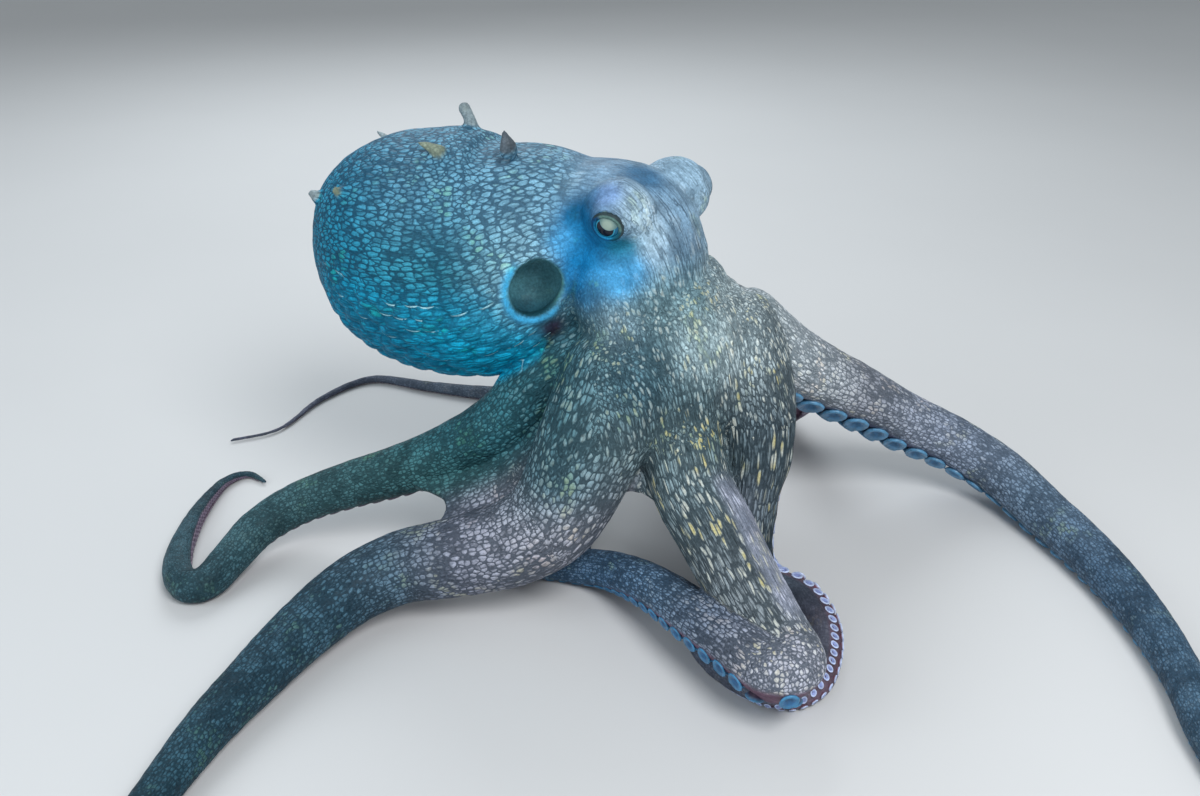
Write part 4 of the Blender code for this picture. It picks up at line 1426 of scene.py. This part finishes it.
def skinMaterial(cells, folds):
    material, shader = newMaterial("octopusSkin")
    shares = splitAttribute("shares")
    net, streak, fold = splitAttribute("zones")
    onMantle, apart, below = splitAttribute("knobs")
    tint = readAttribute("tint", "Color")
    place = ownPlace()

    # each point follows the form it belongs to most, and the edges between them are ragged
    ragged = times(less(noise(place, netScales["ragged"], 1), 0.5), netShape["ragged"])
    onSecond = reckon("GREATER_THAN", add(less(shares[2], shares[1]), ragged), 0.0)
    onBody = reckon("GREATER_THAN", add(shares[0], ragged), 0.5)
    onBend = reckon("GREATER_THAN", add(readAttribute("bent", "Fac"), ragged), 0.5)
    flow = mixVector(onSecond, readAttribute("flowFirst"), readAttribute("flowSecond"))
    flow = mixVector(onBody, flow, readAttribute("flowBody"))
    flow = mixVector(onBend, flow, scaled(place, 1.15))
    given = {"Vector": flow, "Size": netShape["cell"], "Warp": netShape["warp"]}
    cell, tone, height = addNode("ShaderNodeGroup", given, node_tree=cells).outputs
    given = {"Vector": flow, "Gap": netShape["foldGap"]}
    ridge = addNode("ShaderNodeGroup", given, node_tree=folds).outputs[0]

    # how pale each point is between the dark net and the cells
    broad = ramp(noise(place, netScales["broad"], 2, 0.55), 0.30, 0.70, -0.30, 0.30)
    patches = ramp(noise(place, netScales["patches"], 2, 0.5), 0.30, 0.70, -0.26, 0.26)
    spread = times(add(broad, patches), oneLess(times(onMantle, 0.35)))
    own = ramp(tone, 0.05, 0.95, add(0.16, times(onMantle, 0.26)), 0.88)
    # cells are paler towards their raised middles: partly their own colour, partly a painted highlight on
    # each dome
    own = times(own, ramp(height, 0.0, 0.9, 0.72, 1.08))
    # fine strokes along the flow break up each cell
    thin = vectorReckon("MULTIPLY", flow, (1.0, 1.0, 0.45))
    strokes = ramp(noise(thin, netScales["strokes"], 2, 0.6), 0.30, 0.70, -0.42, 0.42)
    own = add(own, times(strokes, oneLess(times(onMantle, 0.55))))
    own = add(own, times(streak, 0.12))
    pale = reckon("MULTIPLY", cell, add(own, spread), clamp=True)
    level = mixNumber(net, add(0.40, times(spread, 0.5)), pale)
    # darker along the fold lines: partly the skin's own dark lines, partly painted shade in the creases
    crease = oneLess(times(oneLess(ridge), fold))
    level = times(level, ramp(crease, 0.0, 1.0, 0.25, 1.12))

    dark = tinted(tint, netPaint["dark"])
    light = vectorReckon("ADD", scaled(tint, 1.90), (0.010, 0.010, 0.009))
    mildDark = tinted(tint, netPaint["mantleDark"])
    mildLight = vectorReckon("ADD", scaled(tint, 1.60), (0.001, 0.012, 0.014))
    dark = blend(onMantle, dark, mildDark)
    light = blend(onMantle, light, mildLight)
    # some cells are cream or ochre
    warmer = times(ramp(noise(place, netScales["warm"], 1), 0.52, 0.66), ramp(tone, 0.35, 0.75))
    warmHue = ramp(noise(place, netScales["warmHue"], 1), 0.44, 0.56)
    warm = blend(warmHue, netPaint["ochre"], netPaint["cream"])
    warmed = tinted(light, warm)
    light = blend(times(warmer, 0.85), light, warmed)
    colour = blend(level, dark, light)
    # pale streaks down the front arms
    bright = times(times(ramp(tone, 0.62, 0.85), height), streak)
    yellow = ramp(noise(place, netScales["streakHue"], 1), 0.48, 0.60)
    streakHue = blend(yellow, netPaint["streakPale"], netPaint["streakYellow"])
    colour = blend(times(bright, 0.78), colour, streakHue)
    # painted highlights: the lower edges of some knobs drawn as if light caught them
    edge = reckon("ABSOLUTE", less(apart, 0.42))
    glint = times(ramp(edge, 0.05, 0.14, 1.0, 0.0), ramp(below, 0.30, 0.37))
    glint = times(glint, readAttribute("shine", "Fac"))
    colour = blend(glint, colour, netPaint["glint"])
    speck = ramp(noise(place, netScales["speck"], 2, 0.6), 0.28, 0.72, 0.80, 1.20)
    put(shader["Base Color"], scaled(colour, speck))
    put(shader["Roughness"], ramp(noise(place, netScales["gloss"], 2), 0.3, 0.7, 0.50, 0.66))
    put(shader["Specular IOR Level"], 0.14)

    grain = bump(0.25, 0.0005, noise(place, netScales["grain"], 3, 0.6))
    creased = bump(0.55, 0.0008, times(ridge, fold), grain)
    put(shader["Normal"], bump(0.65, 0.0008, times(height, net), creased))
    return material


def suckerMaterial():
    material, shader = newMaterial("suckerSkin")
    place = ownPlace()
    mottled = ramp(noise(place, 420, 2), 0.3, 0.7, 0.78, 1.18)
    put(shader["Base Color"], scaled(readAttribute("tint", "Color"), mottled))
    put(shader["Roughness"], ramp(noise(place, 200, 2), 0.3, 0.7, 0.30, 0.46))
    put(shader["Normal"], bump(0.3, 0.0004, noise(place, 900, 2)))
    return material


eyeDiscs = {  # in eyeball radii: the middle, towards the front of the head and up, and the radius
    "iris": (-0.056, -0.030, 0.400),
    "notPupil": (0.150, 0.365, 0.450),
    "ring": (-0.056, -0.030, 0.450),
    "pale": (0.070, 0.150, 0.260),
}
eyePaint = {
    "iris": (*rgb(148, 170, 158), 1),
    "irisDeep": (*rgb(142, 160, 150), 1),
    "pupil": (0.0, 0.004, 0.016, 1),
    "ring": (*rgb(44, 146, 176), 1),
    "outer": (*rgb(90, 124, 124), 1),
    "outerLow": (*rgb(6, 92, 128), 1),
}


def eyeDisc(x, y, name, edge=0.018):
    middleX, middleY, radius = eyeDiscs[name]
    offX = reckon("POWER", less(x, middleX), 2.0)
    offY = reckon("POWER", less(y, middleY), 2.0)
    return ramp(reckon("SQRT", add(offX, offY)), radius - edge, radius + edge, 1.0, 0.0)


def eyeMaterial():
    material, shader = newMaterial("eyeball")
    x, y, z = splitAttribute("gaze")
    around = addNode("ShaderNodeCombineXYZ", {0: times(reckon("ARCTAN2", y, x), 9.0)}).outputs[0]
    fibres = ramp(noise(around, 3.0, 2), 0.35, 0.7)
    lower = oneLess(eyeDisc(x, y, "notPupil"))
    iris = blend(fibres, eyePaint["iris"], eyePaint["irisDeep"])
    outer = blend(lower, eyePaint["outer"], eyePaint["outerLow"])
    colour = blend(eyeDisc(x, y, "pale", 0.13), outer, iris)
    colour = blend(times(eyeDisc(x, y, "ring"), lower), colour, eyePaint["ring"])
    colour = blend(times(eyeDisc(x, y, "iris"), lower), colour, eyePaint["pupil"])
    finish = {"Base Color": colour, "Roughness": 0.25, "Specular IOR Level": 0.25,
              "Coat Weight": 0.25, "Coat Roughness": 0.05}
    for key, value in finish.items():
        put(shader[key], value)
    return material


skinLook = skinMaterial(cellGroup(), foldGroup())
suckerLook = suckerMaterial()
eyeLook = eyeMaterial()
print("materials made")

pieces = [(skin, skinLook, "skin"), (suckers, suckerLook, "skin")]
pieces += [(eye, eyeLook, "eye") for eye in eyes]
pieces += [(lid, skinLook, "skin") for lid in lids]
for obj, look, slot in pieces:
    obj.data.transform(Matrix.Translation(home))
    obj.data.materials.clear()
    obj.data.materials.append(look)
    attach(obj, "root")
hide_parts(*[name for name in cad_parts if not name.startswith("eye")])
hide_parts("eye_right")
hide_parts("eye_left")

stageShape = {
    "floor": 8.0,
    "floorColours": ((0.60, 0.61, 0.62, 1), (0.66, 0.67, 0.68, 1)),
    "cameraAt": Vector((0, -0.548, 0.367)),
    "tilt": math.radians(26),
    "view": math.radians(50),
    "aim": Vector((0, 0.02, 0.10)),  # where the lights point
    "lights": [  # place, width, power and colour
        ("key", (0.35, -0.75, 0.95), 0.55, 10.5, (1, 1, 1)),
        ("fill", (-0.9, -0.5, 0.6), 0.9, 4, (0.88, 0.95, 1.0)),
        ("back", (-0.2, 1.0, 0.9), 0.8, 7, (0.92, 0.97, 1.0)),
    ],
    "world": (0.80, 0.86, 0.90, 1),
    "worldPower": 0.42,
}


def makeFloor():
    deselect()
    bpy.ops.mesh.primitive_plane_add(size=stageShape["floor"], location=(0, 0, -0.0004))
    floor = bpy.context.active_object
    floor.name = "floor"
    bpy.ops.object.transform_apply(location=True, rotation=False, scale=True)
    material, shader = newMaterial("paleFloor")
    mottled = noise(ownPlace(), 3, 3)
    put(shader["Base Color"], blend(mottled, *stageShape["floorColours"]))
    put(shader["Roughness"], 0.8)
    floor.data.materials.append(material)


def makeLight(name, at, size, power, colour):
    lamp = bpy.data.lights.new(name, "AREA")
    lamp.shape = "DISK"
    lamp.size = size
    lamp.energy = power
    lamp.color = colour
    obj = bpy.data.objects.new(name, lamp)
    obj.location = Vector(at) + home
    aim = stageShape["aim"] + home - obj.location
    obj.rotation_euler = aim.to_track_quat("-Z", "Y").to_euler()
    bpy.context.scene.collection.objects.link(obj)


def makeCamera():
    lens = bpy.data.cameras.new("camera")
    lens.sensor_width = 36
    lens.lens = lens.sensor_width / 2 / math.tan(stageShape["view"] / 2)
    lens.clip_start = 0.01
    camera = bpy.data.objects.new("camera", lens)
    camera.location = stageShape["cameraAt"] + home
    camera.rotation_euler = (math.pi / 2 - stageShape["tilt"], 0, 0)
    bpy.context.scene.collection.objects.link(camera)
    bpy.context.scene.camera = camera


makeFloor()
for light in stageShape["lights"]:
    makeLight(*light)
world = bpy.data.worlds.new("studio")
bpy.context.scene.world = world
world.use_nodes = True
background = world.node_tree.nodes["Background"].inputs
background[0].default_value = stageShape["world"]
background[1].default_value = stageShape["worldPower"]
makeCamera()
bpy.context.scene.view_settings.view_transform = "Standard"
print("stage set")
